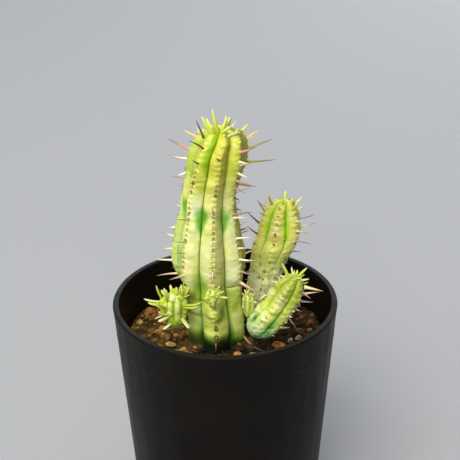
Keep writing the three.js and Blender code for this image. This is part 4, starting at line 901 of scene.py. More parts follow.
_pr = pchip([0, 0.01, 0.03, 0.08, 0.15, 0.25, 0.4, 0.55, 0.7, 0.8, 0.88, 0.94, 0.98, 0.995, 1], [0.3, 1.7, 2.9, 4.6, 5.8, 6.4, 6.6, 6.6, 6.3, 5.7, 4.8, 3.7, 2.3, 1.2, 0.2])
PUP.R = _pr


def pup_paint(P, t, idx, side, u):
    idx, side = idx.astype(int), side.astype(int)
    n1 = fbm(P, 3.6, 41)
    n2 = fbm(P, 1.3, 42)
    n4 = fbm(P, 2.4, 43)
    col = np.ones(P.shape) * np.array((212, 218, 112), float)
    col = mix(col, (236, 238, 172), step(n1, 0.42, 0.66) * 0.8 * (1 - 0.8 * step(t, 0.66, 0.84)))
    col = mix(col, (190, 206, 70), (1 - step(n4, 0.36, 0.5)) * 0.6)
    col = mix(col, (180, 194, 54), step(t, 0.6, 0.8) * 0.85)
    col = mix(col, (232, 232, 140), step(t, 0.5, 0.7) * step(n1, 0.6, 0.7) * 0.4)
    col = col * (1 - 0.13 * step(t, 0.5, 0.75))[..., None]
    col = mix(col, (196, 216, 152), (1 - step(t, 0.2, 0.45)) * 0.85)
    col = mix(col, (176, 202, 160), (1 - step(t, 0.1, 0.25)) * 0.7)
    col = mix(col, (166, 196, 44), step(u, 0.6, 0.97) * step(t, 0.3, 0.6) * 0.75)
    col = mix(col, (116, 140, 20), step(u, 0.75, 1.0) * step(t, 0.6, 0.85) * 0.6)
    on = (idx == 1) | (idx == 3) | (idx == 4)
    col = mix(col, (74, 150, 34), np.where(on, step(u, 0.45, 0.95) * G(t, 0.27, 0.15) * 0.95, 0))
    on = idx == 0
    col = mix(col, (48, 116, 28), np.where(on, step(u, 0.6, 0.95) * G(t, 0.26, 0.06) * 0.95, 0))
    col = mix(col, (110, 150, 50), step(u, 0.93, 0.99) * 0.5 * step(t, 0.2, 0.4))
    col = mix(col, (96, 150, 96), step(n2, 0.64, 0.74) * (1 - step(t, 0.3, 0.45)) * 0.7)
    col = mix(col, (224, 218, 120), (1 - step(u, 0, 0.22)) * 0.35)
    col = mix(col, (206, 176, 96), (1 - step(u, 0, 0.1)) * step(n2, 0.5, 0.6) * 0.6)
    return col


q = np.concatenate([[0.004, 0.01, 0.02, 0.032, 0.046, 0.062], np.arange(0.08, 0.86, 0.0095), 0.86 + 0.14 * (1 - (1 - np.linspace(0, 0.985, 26)) ** 2)])
pup = PUP.mesh("pup_front_right_look", q, pup_paint, SKIN, tuple(PA - p_axis * 0.05), tuple(PB + p_axis * 0.05), bulge=0.08, crease=lambda s: 0.15 + 0.35 * step(s, 0.2, 0.6), tub=lambda s: 0.5 + 0.5 * step(s, 0.5, 0.85), tub_w=lambda s: 1.0 + 0.7 * step(s, 0.5, 0.85), wrinkle=0.5)
pup_spines = Heap()
for x, y, z, dx, dy, dz, ln, r, sort in PUP_SPINES:
    spine(pup_spines, (x, y, z), (dx, dy, dz), ln, r * fat(sort), sort, sink=1.6)
r3 = np.random.default_rng(12)
for i in range(5):
    t = 0.2 + r3.uniform(0, 0.06)
    while t < 0.95:
        o = PUP.out(i, t)
        at = PUP.crest(i, float(t))
        if i in (3, 4):
            spine(pup_spines, at, o + p_axis * 0.3 + r3.normal(size=3) * 0.1, r3.uniform(2.0, 3.6), 0.36, str(r3.choice(["cream", "pale", "pinkpale"])), rs=r3)
        elif r3.uniform() < 0.62:
            spine(pup_spines, at, o + p_axis * 0.5 + r3.normal(size=3) * 0.15, r3.uniform(0.8, 1.7), 0.34, str(r3.choice(["pale", "leaf", "tan"])), rs=r3)
        else:
            ring_scar(pup_spines, at - o * 0.02, o, p_axis, r3.uniform(0.26, 0.36), np.array((168, 138, 84)) * r3.uniform(0.85, 1.15))
        t += r3.uniform(0.07, 0.1)
# young leaves of the crown
for a, up, ln in ((0, 0.9, 2.4), (60, 0.8, 3.0), (130, 0.8, 3.0), (190, 0.9, 2.6), (250, 0.7, 3.2), (310, 0.8, 2.8), (30, 1.6, 2.2), (200, 1.7, 2.4)):
    d = math.sin(math.radians(a)) * p_side + math.cos(math.radians(a)) * p_front + p_axis * up
    d /= np.linalg.norm(d)
    spine(pup_spines, PB - p_axis * 1.3 + (d - p_axis * (d @ p_axis)) * 1.6, d, ln, 0.48, "leaf", rs=r3)
pup_sp = pup_spines.object("pup_front_right_spines", SPINE)

# ------------------------------------------------------------------ leafy offsets
def leaf(heap, foot, tip, r, start=None, flat=0.62, base=(180, 202, 56), end=(226, 230, 140), tipc=(232, 218, 150), rs=None):
    rs = rs or rng
    foot, tip = np.asarray(foot, float), np.asarray(tip, float)
    ln = np.linalg.norm(tip - foot)
    if start is None:
        start = (tip - foot) / ln
    start = np.asarray(start, float) / np.linalg.norm(start)
    mid = foot + start * ln * 0.55 + rs.normal(size=3) * ln * 0.04
    n = 15
    P = bezier(foot, mid, tip, n)
    t = np.linspace(0, 1, n)
    prof = r * np.interp(t, [0, 0.12, 0.4, 0.66, 0.84, 0.94, 1], [0.85, 0.92, 1.0, 0.98, 0.8, 0.52, 0.2])
    v, f = sweep(P, prof, 12, flat, groove=0.16)
    k = np.stack([np.interp(t, [0, 0.45, 0.92, 1], [base[i], (base[i] + end[i]) / 2, end[i], tipc[i]]) for i in range(3)], 1)
    k = k * rs.uniform(0.95, 1.04)
    heap.add(v, f, np.concatenate([np.repeat(k, 12, axis=0), k[:1], k[-1:]]))


off = Heap()
ax0, ax1 = np.array([-19.3, -9.9, 88.5]), np.array([-18.9, -10.7, 103.8])
off.add(*sweep(bezier((-12.4, -3.2, 94.0), (-15.6, -4.2, 93.6), (-18.3, -8.6, 95.8), 12), [1.7, 1.8, 1.9, 2.0, 2.1, 2.2, 2.3, 2.3, 2.3, 2.3, 2.2, 2.0], 20), np.array((150, 176, 60)))
# ribbed little body
nb = 56
rings, cols = [], []
aa = np.linspace(0, 2 * np.pi, 84, endpoint=False)
tb = np.concatenate([[-0.015, -0.008, 0.004], np.linspace(0.02, 1.0, nb)])
rb = pchip([-0.02, 0.0, 0.03, 0.1, 0.2, 0.35, 0.55, 0.72, 0.85, 0.95, 1.0, 1.02], [0.15, 0.9, 1.9, 3.1, 3.6, 3.8, 4.0, 3.9, 3.2, 2.0, 1.0, 0.2])
rib7 = 7 * (aa - math.radians(7))
for t in tb:
    c = ax0 + (ax1 - ax0) * t
    up = step(t, 0.1, 0.4)
    rr = float(rb(t)) * (1.0 + (0.03 + 0.07 * float(up)) * (np.abs(np.cos(rib7 / 2)) ** 0.8 * 2 - 1.1)) + 0.2 * (0.5 + 0.5 * np.cos(rib7)) * math.cos(t * 20)
    rr = rr * (1 + 0.2 * (fbm(np.stack([np.sin(aa) * 3, np.cos(aa) * 3, 0 * aa + t * 12], 1), 2.2, 66) - 0.5))
    P = np.stack([c[0] + np.sin(aa) * rr, c[1] - np.cos(aa) * rr, c[2] + 0 * aa], 1)
    rings.append(P)
    g = np.clip(0.5 - 0.5 * np.cos(rib7), 0, 1)
    sp = fbm(P, 2.6, 67)
    k = np.ones((84, 3)) * np.array((194, 208, 82))
    k = mix(k, (228, 236, 158), step(sp, 0.44, 0.6) * (1 - g) ** 1.5 * 0.8 * float(step(t, 0.25, 0.55)))
    k = mix(k, (150, 190, 36), (1 - step(sp, 0.34, 0.46)) * 0.6)
    k = mix(k, (110, 158, 20), g**5 * 0.8 * float(up))
    k = mix(k, (158, 194, 46), np.full(84, 0.75 * (1 - float(step(t, 0.12, 0.36)))))
    k = mix(k, (112, 164, 30), np.full(84, 0.7 * (1 - float(step(t, 0.0, 0.1)))))
    cols.append(k)
V = np.concatenate(rings + [[ax0 + (ax1 - ax0) * -0.022], [ax0 + (ax1 - ax0) * 1.022]])
C = np.concatenate(cols + [cols[0][:1], cols[-1][:1]])
off.add(V, ring_faces(len(tb), 84), C)
r4 = np.random.default_rng(21)
# swollen feet of the leaves
LOBES = [
    (-24.2, -11.2, 100.2, 1.7, 0), (-24.2, -12.0, 96.6, 1.45, 0), (-23.3, -12.2, 98.6, 1.75, 0), (-20.46, -12.5, 102.3, 1.75, 1),
    (-16.2, -11.5, 100.0, 1.6, 0), (-18.06, -12.5, 92.0, 1.35, 0), (-21.3, -11.8, 92.3, 1.6, 2), (-21.6, -12.9, 96.4, 1.5, 1),
    (-16.2, -12.0, 96.4, 1.4, 0), (-17.4, -12.2, 102.6, 1.5, 0), (-22.6, -10.6, 102.0, 1.5, 0), (-20.0, -9.0, 102.4, 1.8, 0),
    (-16.6, -9.6, 102.2, 1.4, 0), (-22.6, -8.0, 99.2, 1.6, 0), (-20.8, -6.9, 96.0, 1.5, 0), (-17.6, -6.9, 98.0, 1.4, 0),
]
for x, y, z, r, k in LOBES:
    v, f = ICO3
    q = v * (1 + 0.16 * (fbm(v * 2.1 + x, 1.0, 69)[:, None] - 0.5) * 2) * np.array([0.92, 0.92, 1.2]) * r
    c = np.ones((len(v), 3)) * np.array([(194, 206, 60), (226, 236, 150), (158, 194, 52)][k])
    c = mix(c, (150, 184, 30), (1 - step(v[:, 2] + 0.5 * (fbm(v * 3 + y, 1.0, 70) - 0.5), -0.7, 0.1)) * 0.6)
    off.add(q + np.array([x, y, z]), f, c)
# foot, tip, half width, tone (0 leaf, 1 whitish)
LEAVES = [
    (-24.4, -11.3, 101.0, -26.69, -12.0, 107.74, 0.95, 0), (-23.0, -12.0, 101.6, -23.6, -13.0, 107.2, 0.62, 1),
    (-21.8, -12.6, 102.0, -22.86, -14.0, 107.1, 0.6, 0), (-19.4, -12.0, 102.9, -20.71, -12.5, 107.4, 0.6, 0),
    (-18.7, -11.8, 103.0, -19.03, -11.0, 106.6, 0.55, 0), (-18.0, -12.4, 102.8, -17.47, -12.5, 107.5, 0.8, 0),
    (-17.0, -12.6, 102.8, -16.16, -14.0, 107.0, 0.6, 0), (-15.9, -11.7, 102.4, -14.07, -11.5, 106.6, 0.85, 0),
    (-16.0, -12.4, 102.6, -13.8, -14.5, 104.9, 0.5, 1), (-15.9, -12.8, 99.6, -9.15, -17.0, 103.1, 0.85, 0),
    (-15.8, -13.0, 98.8, -10.8, -17.2, 101.1, 0.8, 0), (-25.0, -11.3, 100.3, -31.56, -12.5, 102.3, 0.75, 1),
    (-24.6, -12.2, 99.6, -29.96, -14.0, 101.4, 0.85, 0), (-22.4, -13.0, 97.3, -27.08, -15.6, 101.4, 0.85, 0),
    (-22.4, -12.9, 98.7, -26.79, -14.6, 101.9, 0.7, 0), (-22.1, -13.0, 95.6, -26.0, -15.2, 98.0, 0.95, 0),
    (-23.7, -12.2, 95.5, -27.45, -13.5, 93.9, 0.42, 1), (-21.9, -12.9, 94.9, -26.21, -16.0, 94.1, 0.85, 1),
    (-21.0, -12.0, 91.4, -24.39, -15.5, 90.2, 0.72, 1), (-17.1, -12.9, 93.6, -14.21, -16.8, 91.3, 0.9, 1),
    (-20.5, -9.5, 102.6, -21.5, -5.6, 104.6, 0.6, 0), (-22.8, -8.6, 100.6, -25.2, -5.0, 102.0, 0.7, 0),
    (-17.4, -8.0, 101.0, -17.2, -4.4, 104.0, 0.6, 0), (-21.6, -6.6, 97.0, -23.2, -2.8, 99.0, 0.7, 0),
]
for x, y, z, X, Y, Z, r, k in LEAVES:
    foot, tip = np.array([x, y, z]), np.array([X, Y, Z])
    base, end, tipc = ((176, 196, 50), (208, 214, 100), (228, 220, 140)) if k == 0 else ((196, 210, 96), (230, 232, 168), (240, 236, 196))
    leaf(off, foot, tip, r, start=tip - foot + np.array([0, 0, -0.25 * np.linalg.norm(tip - foot)]) * (0.4 if k else 1.0), flat=0.5, base=base, end=end, tipc=tipc, rs=r4)
# purplish crease between two of them
off.add(*sweep(bezier((-22.9, -14.3, 98.6), (-24.2, -14.9, 99.8), (-26.0, -15.4, 101.0), 9), [0.1, 0.2, 0.26, 0.3, 0.3, 0.3, 0.26, 0.2, 0.1], 8), np.array((150, 104, 62)))
# short inner leaves
for _ in range(26):
    t = r4.uniform(0.82, 0.99)
    c = ax0 + (ax1 - ax0) * t
    a = r4.uniform(0, 2 * np.pi)
    o = np.array([math.sin(a), -math.cos(a), 0])
    if o[0] > 0.7 and o[1] > -0.2:
        continue
    rr = float(rb(t))
    foot = c + o * (rr - 0.7)
    tip = c + o * (rr * (0.7 + 0.3 * (1 - t)) + r4.uniform(0.4, 1.3)) + np.array([0, 0, r4.uniform(1.0, 2.4)])
    leaf(off, foot, tip, r4.uniform(0.36, 0.52), rs=r4)
offset = off.object("offset_front_left_look", LEAF)


def small_bud(name, c, half, leaves, seed, extra=10):
    h = Heap()
    r = np.random.default_rng(seed)
    v, f = ICO3
    ang = np.arctan2(v[:, 0], -v[:, 1])
    k = 1 + (0.15 * np.cos(5 * ang + 0.6) + 0.05 * np.cos(11 * ang)) * (1 - v[:, 2] ** 2) + 0.3 * (fbm(v * 3 + seed, 1.0, 68) - 0.5)
    p = v * np.asarray(half) * k[:, None]
    p[:, :2] *= (0.95 + 0.3 * v[:, 2:3])
    p = p + np.asarray(c)
    col = np.ones((len(v), 3)) * np.array((200, 214, 80))
    col = mix(col, (238, 240, 180), step(np.cos(5 * ang + 0.6), 0.2, 0.9) * 0.7)
    col = mix(col, (150, 186, 44), step(-np.cos(5 * ang + 0.6), 0.4, 1.0) * 0.7)
    h.add(p, f, col)
    cc = np.asarray(c) + np.array([0, 0, half[2] * 0.25])
    for X, Y, Z, rr in leaves:
        tip = np.array([X, Y, Z])
        leaf(h, cc * 0.8 + tip * 0.2, tip, rr, rs=r)
    for _ in range(extra):
        a = r.uniform(-1.7, 1.7)
        zz = r.uniform(-0.5, 0.9)
        o = np.array([math.sin(a), -math.cos(a), 0])
        rad = math.sqrt(max(0.05, 1 - zz * zz))
        foot = np.asarray(c) + o * half[0] * rad * 0.75 + np.array([0, 0, zz * half[2]])
        tip = foot + o * r.uniform(0.9, 1.9) + np.array([0, 0, r.uniform(0.4, 1.6)])
        leaf(h, foot, tip, r.uniform(0.36, 0.5), rs=r)
    return h.object(name, LEAF)


bud_f = small_bud("bud_front_look", (-4.5, -15.0, 103.4), (2.7, 2.3, 4.8), [
    (-6.3, -17.2, 109.0, 0.62), (-4.5, -16.6, 110.2, 0.66), (-2.0, -17.2, 110.2, 0.6), (-0.4, -17.4, 107.9, 0.62),
    (1.1, -17.0, 104.8, 0.62), (-8.0, -16.6, 104.4, 0.56), (-5.2, -18.8, 106.8, 0.6)], 31)
bud_r = small_bud("bud_right_look", (8.9, -9.2, 97.0), (2.1, 2.1, 5.6), [
    (6.6, -10.6, 103.4, 0.62), (9.4, -9.8, 105.6, 0.66), (11.8, -9.2, 102.6, 0.6), (12.6, -9.6, 98.4, 0.5), (8.6, -10.8, 104.2, 0.7), (7.6, -9.0, 104.0, 0.6), (10.6, -10.4, 103.2, 0.6),
    (7.2, -12.6, 101.2, 0.56), (10.2, -12.4, 100.4, 0.56)], 32, 8)

# ------------------------------------------------------------------ pot
def fillet(pts, radii, n=5):
    """polyline of (r, z) with rounded corners"""
    out = []
    m = len(pts)
    for i, (p, rad) in enumerate(zip(pts, radii)):
        p = np.array(p, float)
        if rad <= 0:
            out.append(p)
            continue
        a, b = np.array(pts[i - 1], float), np.array(pts[(i + 1) % m], float)
        u, w = (a - p) / np.linalg.norm(a - p), (b - p) / np.linalg.norm(b - p)
        ang = math.acos(np.clip(u @ w, -1, 1))
        d = rad / math.tan(ang / 2)
        for k in range(n + 1):
            t = k / n
            q0, q1 = p + u * d, p + w * d
            out.append((1 - t) ** 2 * q0 + 2 * t * (1 - t) * p + t * t * q1)
    return np.array(out)


def wall(z):
    return 45.0 - 0.0782 * (95.0 - z)


prof = [(8.0, 4.0), (33.2, 4.0), (34.3, 0.0), (wall(0), 0.0)]
rad = [0.3, 0.8, 0.5, 0.7]
for zc, h in ((53.6, 0.07), (66.0, 0.07), (82.0, 0.09)):
    for dz, k in ((-2.2, 0), (-1.6, 0), (-0.9, 0.1), (-0.45, 0.6), (0, 1), (0.45, 0.6), (0.9, 0.1), (1.6, 0), (2.2, 0)):
        prof.append((wall(zc + dz) + h * k, zc + dz))
        rad.append(0)
prof += [(wall(93.2), 93.2), (45.0, 94.2), (44.7, 95.0), (42.6, 95.0), (wall(92.0) - 2.5, 92.0), (wall(7.0) - 2.5, 6.5), (8.0, 6.5)]
rad += [0, 0.25, 0.55, 0.6, 0, 1.2, 0.3]
line = fillet(prof, rad)
N = 192
th = np.linspace(0, 2 * np.pi, N, endpoint=False)
# finer steps up the wall so that shading stays smooth
dense = []
for i in range(len(line)):
    a, b = line[i], line[(i + 1) % len(line)]
    k = max(1, int(np.linalg.norm(b - a) / 4.0))
    for t in range(k):
        dense.append(a + (b - a) * t / k)
dense = np.array(dense)
PV = np.stack([np.outer(dense[:, 0], np.cos(th)), np.outer(dense[:, 0], np.sin(th)), np.repeat(dense[:, 1:2], N, 1)], -1)
PF = []
M = len(dense)
for i in range(M):
    a, b = i * N, ((i + 1) % M) * N
    for j in range(N):
        k = (j + 1) % N
        PF.append((a + j, a + k, b + k, b + j))
pot = mesh_object("pot_look", PV.reshape(-1, 3), PF)

m, nodes, links, b = principled("black_plastic")
co = nodes.new("ShaderNodeTexCoord")
n1 = noise_node(nodes, links, co, 60.0, 5.0)
mp = nodes.new("ShaderNodeMapping")
mp.inputs["Scale"].default_value = (1.0, 1.0, 0.06)
links.new(co.outputs["Object"], mp.inputs["Vector"])
streak = nodes.new("ShaderNodeTexNoise")
streak.inputs["Scale"].default_value = 220.0
streak.inputs["Detail"].default_value = 4.0
links.new(mp.outputs["Vector"], streak.inputs["Vector"])
ramp = nodes.new("ShaderNodeValToRGB")
ramp.color_ramp.elements[0].position = 0.3
ramp.color_ramp.elements[0].color = (0.0030, 0.0022, 0.0016, 1)
ramp.color_ramp.elements[1].position = 0.75
ramp.color_ramp.elements[1].color = (0.0056, 0.0042, 0.0030, 1)
links.new(n1.outputs["Fac"], ramp.inputs["Fac"])
links.new(ramp.outputs["Color"], b.inputs["Base Color"])
rr = nodes.new("ShaderNodeMapRange")
rr.inputs["From Min"].default_value = 0.3
rr.inputs["From Max"].default_value = 0.7
rr.inputs["To Min"].default_value = 0.40
rr.inputs["To Max"].default_value = 0.54
links.new(streak.outputs["Fac"], rr.inputs["Value"])
links.new(rr.outputs["Result"], b.inputs["Roughness"])
b.inputs["Specular IOR Level"].default_value = 0.13
b.inputs["Specular Tint"].default_value = (1.0, 0.92, 0.84, 1)
grain = noise_node(nodes, links, co, 2600.0, 2.0)
bp = nodes.new("ShaderNodeBump")
bp.inputs["Strength"].default_value = 0.18
bp.inputs["Distance"].default_value = 0.00006
links.new(grain.outputs["Fac"], bp.inputs["Height"])
links.new(bp.outputs["Normal"], b.inputs["Normal"])
PLASTIC = m
pot.data.materials.append(PLASTIC)

# ------------------------------------------------------------------ soil
SOIL_R = wall(76.9) - 2.5 - 0.12


def soil_level(x, y):
    return 76.9 + 0.35 * np.sin(x * 0.31 + 1.2) * np.cos(y * 0.27) + 0.25 * np.sin(0.55 * x - 0.4 * y)


nr, na = 110, 300
rs_ = np.concatenate([np.linspace(0.4, SOIL_R, nr)])
an = np.linspace(0, 2 * np.pi, na, endpoint=False)
X, Y = np.outer(rs_, np.cos(an)), np.outer(rs_, np.sin(an))
Q = np.stack([X, Y, 0 * X], -1)
clump = fbm(Q, 3.2, 51, 4)
lump = np.abs(fbm(Q, 1.7, 52, 3) - 0.5) * 2
Z = soil_level(X, Y) + (clump - 0.5) * 3.0 - lump * 0.9 + 0.3
Z = np.minimum(Z, 79.2)
top = np.stack([X, Y, Z], -1)[::-1]
sc = np.ones(top.shape) * np.array((34, 24, 14))
cl, lm = clump[::-1], lump[::-1]
sc = mix(sc, (88, 66, 24), step(cl, 0.46, 0.7) * 0.9 * (0.6 + 0.4 * (top[..., 0] < -10)))
sc = mix(sc, (120, 86, 38), step(vnoise(top, 2.6, 77), 0.66, 0.85) * 0.7)
sc = mix(sc, (100, 74, 28), step(-top[..., 0], 8, 16) * 0.55)
# near-black in the dips of the soil surface: painted shade in the hollows
sc = mix(sc, (18, 12, 8), step(lm, 0.35, 0.8) * 0.8)
# darker soil at the front: painted shade of the pot's front wall
sc = sc * (1 - 0.45 * step(-top[..., 1], 9, 13) * step(top[..., 0], -26, -18))[..., None]
low = []
for rl, zl in ((wall(8.3) - 2.8 - 1.4, 6.8), (wall(8.3) - 2.8, 8.3), (wall(40) - 2.8, 40.0), (wall(70) - 2.8, 70.0)):
    low.append(np.stack([np.cos(an) * rl, np.sin(an) * rl, 0 * an + zl], 1))
SV = np.concatenate(low + [top.reshape(-1, 3), [[0, 0, 6.8]], [[0, 0, float(Z[0].mean())]]])
SC = np.concatenate([np.ones((4 * na, 3)) * np.array((40, 28, 18)), sc.reshape(-1, 3), np.ones((2, 3)) * np.array((40, 28, 18))])
soil = mesh_object("soil_look", SV, ring_faces(4 + nr, na), SC, SOIL)

PEBBLES = [
    (-31.7, 19.0, 5.6, 4.6, 4.4, 20), (-35.4, 11.0, 4.2, 3.4, 2.8, 70), (-22.0, -6.6, 5.2, 3.0, 2.6, -10),
  (-16.9, -10.4, 3.6, 2.6, 2.2, 15), (4.8, -15.2, 4.2, 3.6, 3.6, 30), (10.4, -15.6, 4.0, 3.0, 3.0, 0),
  (21.6, -8.6, 6.2, 3.6, 3.6, -4), (26.3, -4.8, 2.8, 2.4, 2.4, 40), (29.6, -2.6, 3.4, 2.8, 2.6, 60),
  (35.2, 9.6, 3.2, 3.0, 2.8, 10), (32.4, 14.4, 3.0, 2.6, 2.4, 50), (-27.7, 3.8, 3.2, 2.8, 2.4, 25),
  (-25.2, 10.8, 3.0, 2.6, 2.2, 80), (-28.9, -2.8, 3.0, 2.2, 2.0, 0), (-33.4, 4.8, 2.8, 2.6, 2.2, 35),
  (34.2, 3.4, 3.0, 2.4, 2.2, 15), (-2.4, -16.6, 3.0, 2.4, 2.0, -20), (17.2, -15.6, 2.8, 2.2, 2.0, 30),
  (-9.4, -17.0, 2.8, 2.4, 2.0, 60), (-20.0, 20.0, 4.2, 3.4, 3.0, 45), (-8.0, 27.0, 4.6, 3.6, 3.2, 15),
  (6.0, 30.0, 3.8, 3.2, 2.8, 75), (20.0, 29.0, 4.4, 3.4, 3.0, 30), (30.0, 24.0, 3.4, 3.0, 2.6, 0),
  (-14.0, -28.0, 4.4, 3.4, 3.0, 25), (2.0, -32.0, 4.0, 3.2, 2.8, 65), (18.0, -29.0, 4.2, 3.4, 3.0, 10),
  (-29.0, -18.0, 3.6, 3.0, 2.6, 50),
]
TONES = [(146, 112, 42), (104, 78, 28), (56, 42, 18), (104, 92, 56), (122, 86, 30), (118, 90, 34), (72, 56, 26), (156, 126, 60)]
grit = Heap()
r5 = np.random.default_rng(44)
for _ in range(820):
    a, rr_ = r5.uniform(0, 2 * np.pi), SOIL_R * math.sqrt(r5.uniform(0.0, 0.985))
    x, y = math.cos(a) * rr_, math.sin(a) * rr_
    if math.hypot(x + 3.5, y + 1) < 10.3 or math.hypot(x - 13.8, y - 14) < 6.3:
        continue
    s = r5.choice([1.1, 1.8, 3.0, 4.2], p=[0.42, 0.3, 0.19, 0.09]) * r5.uniform(0.8, 1.2)
    if any(math.hypot(x - q[0], y - q[1]) < q[2] * 0.42 + s * 0.3 for q in PEBBLES):
        continue
    if rr_ > SOIL_R - s * 0.55:
        continue
    p, f = stone(ICO2 if s > 1.5 else ICO1, (s * r5.uniform(1.0, 1.35), s * r5.uniform(0.55, 0.9), s * r5.uniform(0.45, 0.75)), r5.uniform(0, 6.3), 7, r5, 0.06, 26.0)
    z = float(soil_level(x, y)) + r5.uniform(0.0, 0.9)
    tone = np.array(TONES[r5.choice(len(TONES), p=[0.13, 0.22, 0.25, 0.05, 0.09, 0.12, 0.08, 0.06])]) * r5.uniform(0.55, 1.0) * (1.16 if x < -12 and y > -26 else (0.72 if x > 8 and y > -22 else 0.74))
    if x < -12:
        tone = (tone * 0.55 + np.array((116, 86, 30)) * 0.45) * 1.22
    # darker grit at the front: painted shade of the pot's front wall
    if y < -10.5 and x > -24:
        tone = tone * (0.58 if x < 12 else 0.8)
    grit.add(p + np.array([x, y, z]), f, tone)
for _ in range(46):
    x, y = r5.uniform(-30, -4), r5.uniform(-31, -10)
    if r5.uniform() < 0.3:
        x, y = r5.uniform(-10, 32), r5.uniform(-30, 24)
    if math.hypot(x, y) > SOIL_R - 5 or math.hypot(x + 3.5, y + 1) < 13 or math.hypot(x - 13.8, y - 14) < 9:
        continue
    a = r5.uniform(-0.5, 0.4) if x < 0 else r5.uniform(0, 3.1)
    ln = r5.uniform(3.0, 8.0)
    d = np.array([math.cos(a), math.sin(a), 0]) * ln / 2
    c = np.array([x, y, float(soil_level(x, y)) + r5.uniform(0.9, 1.5)])
    if np.hypot(*(c + d)[:2]) > SOIL_R - 0.6 or np.hypot(*(c - d)[:2]) > SOIL_R - 0.6:
        continue
    P = bezier(c - d + np.array([0, 0, r5.uniform(-0.9, 0.1)]), c + r5.normal(size=3) * 0.5, c + d + np.array([0, 0, r5.uniform(-0.9, 0.1)]), 9)
    v, f = sweep(P, np.array([0.3, 0.8, 1, 1, 0.9, 0.9, 0.7, 0.5, 0.2]) * r5.uniform(0.12, 0.3), 6)
    grit.add(v, f, np.array((112, 82, 44)) * r5.uniform(0.5, 1.2))
grit_o = grit.object("soil_grit", STONE)

PEB_TONES = {0: (132, 90, 34), 1: (168, 140, 84), 2: (196, 152, 84), 3: (176, 138, 74), 4: (190, 140, 60), 5: (206, 186, 128), 6: (168, 112, 52), 7: (176, 172, 160), 8: (162, 136, 96), 9: (128, 74, 42), 10: (116, 76, 44), 11: (150, 104, 50), 12: (128, 90, 48)}
pebbles = []
for i, (x, y, l, w, h, turn) in enumerate(PEBBLES):
    r6 = np.random.default_rng(100 + i)
    p, f = stone(ICO3, (l * 1.02, w * 1.0, h * 1.02), math.radians(turn), 11, r6, 0.06, 22.0)
    tone = np.array(PEB_TONES.get(i, TONES[i % len(TONES)]), float)
    n = fbm(p + i * 11, 1.1, 61)
    col = np.ones(p.shape) * tone
    col = mix(col, tone * 0.6, step(n, 0.5, 0.75))
    col = mix(col, np.minimum(tone * 1.25 + 12, 235), 1 - step(n, 0.22, 0.42))
    o = mesh_object("pebble_%02d_look" % (i + 1), p + np.array([x, y, 76.9 + h * 0.26]), f, col, STONE)
    pebbles.append(o)

needles = []
for i, (x, y, z, X_, Y_, Z_, r) in enumerate([(-24.6, 2.2, 79.3, -15.4, 5.4, 78.6, 0.3), (-20.6, -1.4, 78.3, -15.6, -0.6, 78.5, 0.28), (-20.6, -11.6, 78.2, -12.8, -14.6, 78.3, 0.3)]):
    a, c = np.array([x, y, z]), np.array([X_, Y_, Z_])
    P = bezier(a, (a + c) / 2 + np.array([0, 0.5, 0.35]), c, 14)
    v, f = sweep(P, r * np.interp(np.linspace(0, 1, 14), [0, 0.1, 0.7, 1], [0.8, 1, 0.8, 0.25]), 8)
    k = np.ones((len(v), 3)) * np.array((150, 112, 74))
    k = mix(k, (96, 68, 46), step(fbm(v, 1.4, 71), 0.4, 0.7))
    needles.append(mesh_object("dry_needle_%d_look" % (i + 1), v, f, k, SPINE))

# ------------------------------------------------------------------ ride, replace
for o, nodes_, slot_ in (
    (stem, ["main_stem"], "stem_skin"), (stem_sp, ["main_stem"], "stem_skin"),
    (rear, ["branch_rear_right"], "branch_skin"), (rear_sp, ["branch_rear_right"], "branch_skin"),
    (pup, ["pup_front_right"], "pup_skin"), (pup_sp, ["pup_front_right"], "pup_skin"),
    (offset, ["offset_front_left"], "young_leaf"), (bud_f, ["bud_front"], "young_leaf"), (bud_r, ["bud_right"], "young_leaf"),
    (pot, ["pot"], "pot_plastic"), (soil, ["soil"], "soil"), (grit_o, ["soil"], "soil"),
):
    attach(o, "root")
    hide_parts(*nodes_)
for i, o in enumerate(pebbles):
    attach(o, "root")
    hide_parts("pebble_%02d" % (i + 1))
for i, o in enumerate(needles):
    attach(o, "root")
    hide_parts("dry_needle_%d" % (i + 1))

# ------------------------------------------------------------------ floor, light, camera
me = bpy.data.meshes.new("floor")
S = 12.0
me.from_pydata([(-S, -S, 0), (S, -S, 0), (S, S, 0), (-S, S, 0)], [], [(0, 1, 2, 3)])
floor = bpy.data.objects.new("floor", me)
bpy.context.scene.collection.objects.link(floor)
fm, nodes, links, b = principled("floor_paint")
b.inputs["Base Color"].default_value = (0.345, 0.35, 0.357, 1)
b.inputs["Roughness"].default_value = 0.8
b.inputs["Specular IOR Level"].default_value = 0.2
me.materials.append(fm)

world = bpy.data.worlds.new("world")
bpy.context.scene.world = world
world.use_nodes = True
bg = world.node_tree.nodes["Background"]
bg.inputs["Color"].default_value = (0.93, 0.96, 1.0, 1)
bg.inputs["Strength"].default_value = 0.42


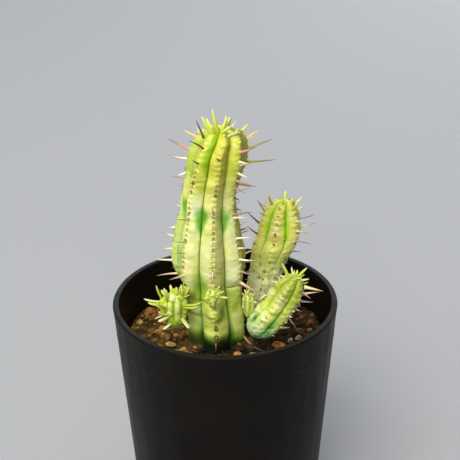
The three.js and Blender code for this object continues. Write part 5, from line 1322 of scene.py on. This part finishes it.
def area(name, pos, target, size, power, colour):
    l = bpy.data.lights.new(name, "AREA")
    l.shape = "RECTANGLE"
    l.size, l.size_y = size
    l.energy = power
    l.color = colour
    o = bpy.data.objects.new(name, l)
    bpy.context.scene.collection.objects.link(o)
    o.location = pos
    o.rotation_mode = "QUATERNION"
    o.rotation_quaternion = (Vector(target) - Vector(pos)).to_track_quat("-Z", "Y")
    return o


area("key", (-0.5, -0.85, 1.45), (0, 0, 0.11), (0.9, 0.9), 24.5, (1.0, 0.985, 0.965))
area("left", (-1.3, 0.1, 0.9), (0, 0, 0.11), (0.8, 0.8), 4.5, (0.98, 0.99, 1.0))
area("front", (-0.15, -1.25, 0.72), (0, 0, 0.11), (0.7, 0.5), 4.8, (1.0, 0.99, 0.97))
area("top", (0.2, 0.55, 1.35), (0, 0, 0.1), (1.0, 1.0), 5.0, (0.97, 0.98, 1.0))
area("back", (-0.2, 1.7, 0.95), (0.1, 0.5, 0.0), (0.9, 0.6), 4.0, (0.95, 0.97, 1.0))
area("far_right", (0.5, 0.95, 0.5), (0.27, 0.74, 0.0), (0.4, 0.4), 2.6, (0.95, 0.97, 1.0))

cam_d = bpy.data.cameras.new("camera")
cam_d.sensor_width = 36.0
cam_d.lens = 36.0 * 1243.7 / 460.0
cam_d.clip_start, cam_d.clip_end = 0.01, 50
cam_o = bpy.data.objects.new("camera", cam_d)
bpy.context.scene.collection.objects.link(cam_o)
fw = np.array([0.004692, 0.896087, -0.443853])
fw /= np.linalg.norm(fw)
rt = np.cross(fw, (0, 0, 1.0))
rt /= np.linalg.norm(rt)
up = np.cross(rt, fw)
roll = math.radians(-0.65)
rt, up = math.cos(roll) * rt + math.sin(roll) * up, -math.sin(roll) * rt + math.cos(roll) * up
mat = Matrix([[rt[0], up[0], -fw[0], 0.0], [rt[1], up[1], -fw[1], -0.4352208], [rt[2], up[2], -fw[2], 0.3411358], [0, 0, 0, 1]])
cam_o.matrix_world = mat
bpy.context.scene.camera = cam_o

vs = bpy.context.scene.view_settings
vs.view_transform = "Standard"
vs.look = "None"
vs.exposure = 0.0
vs.gamma = 1.0
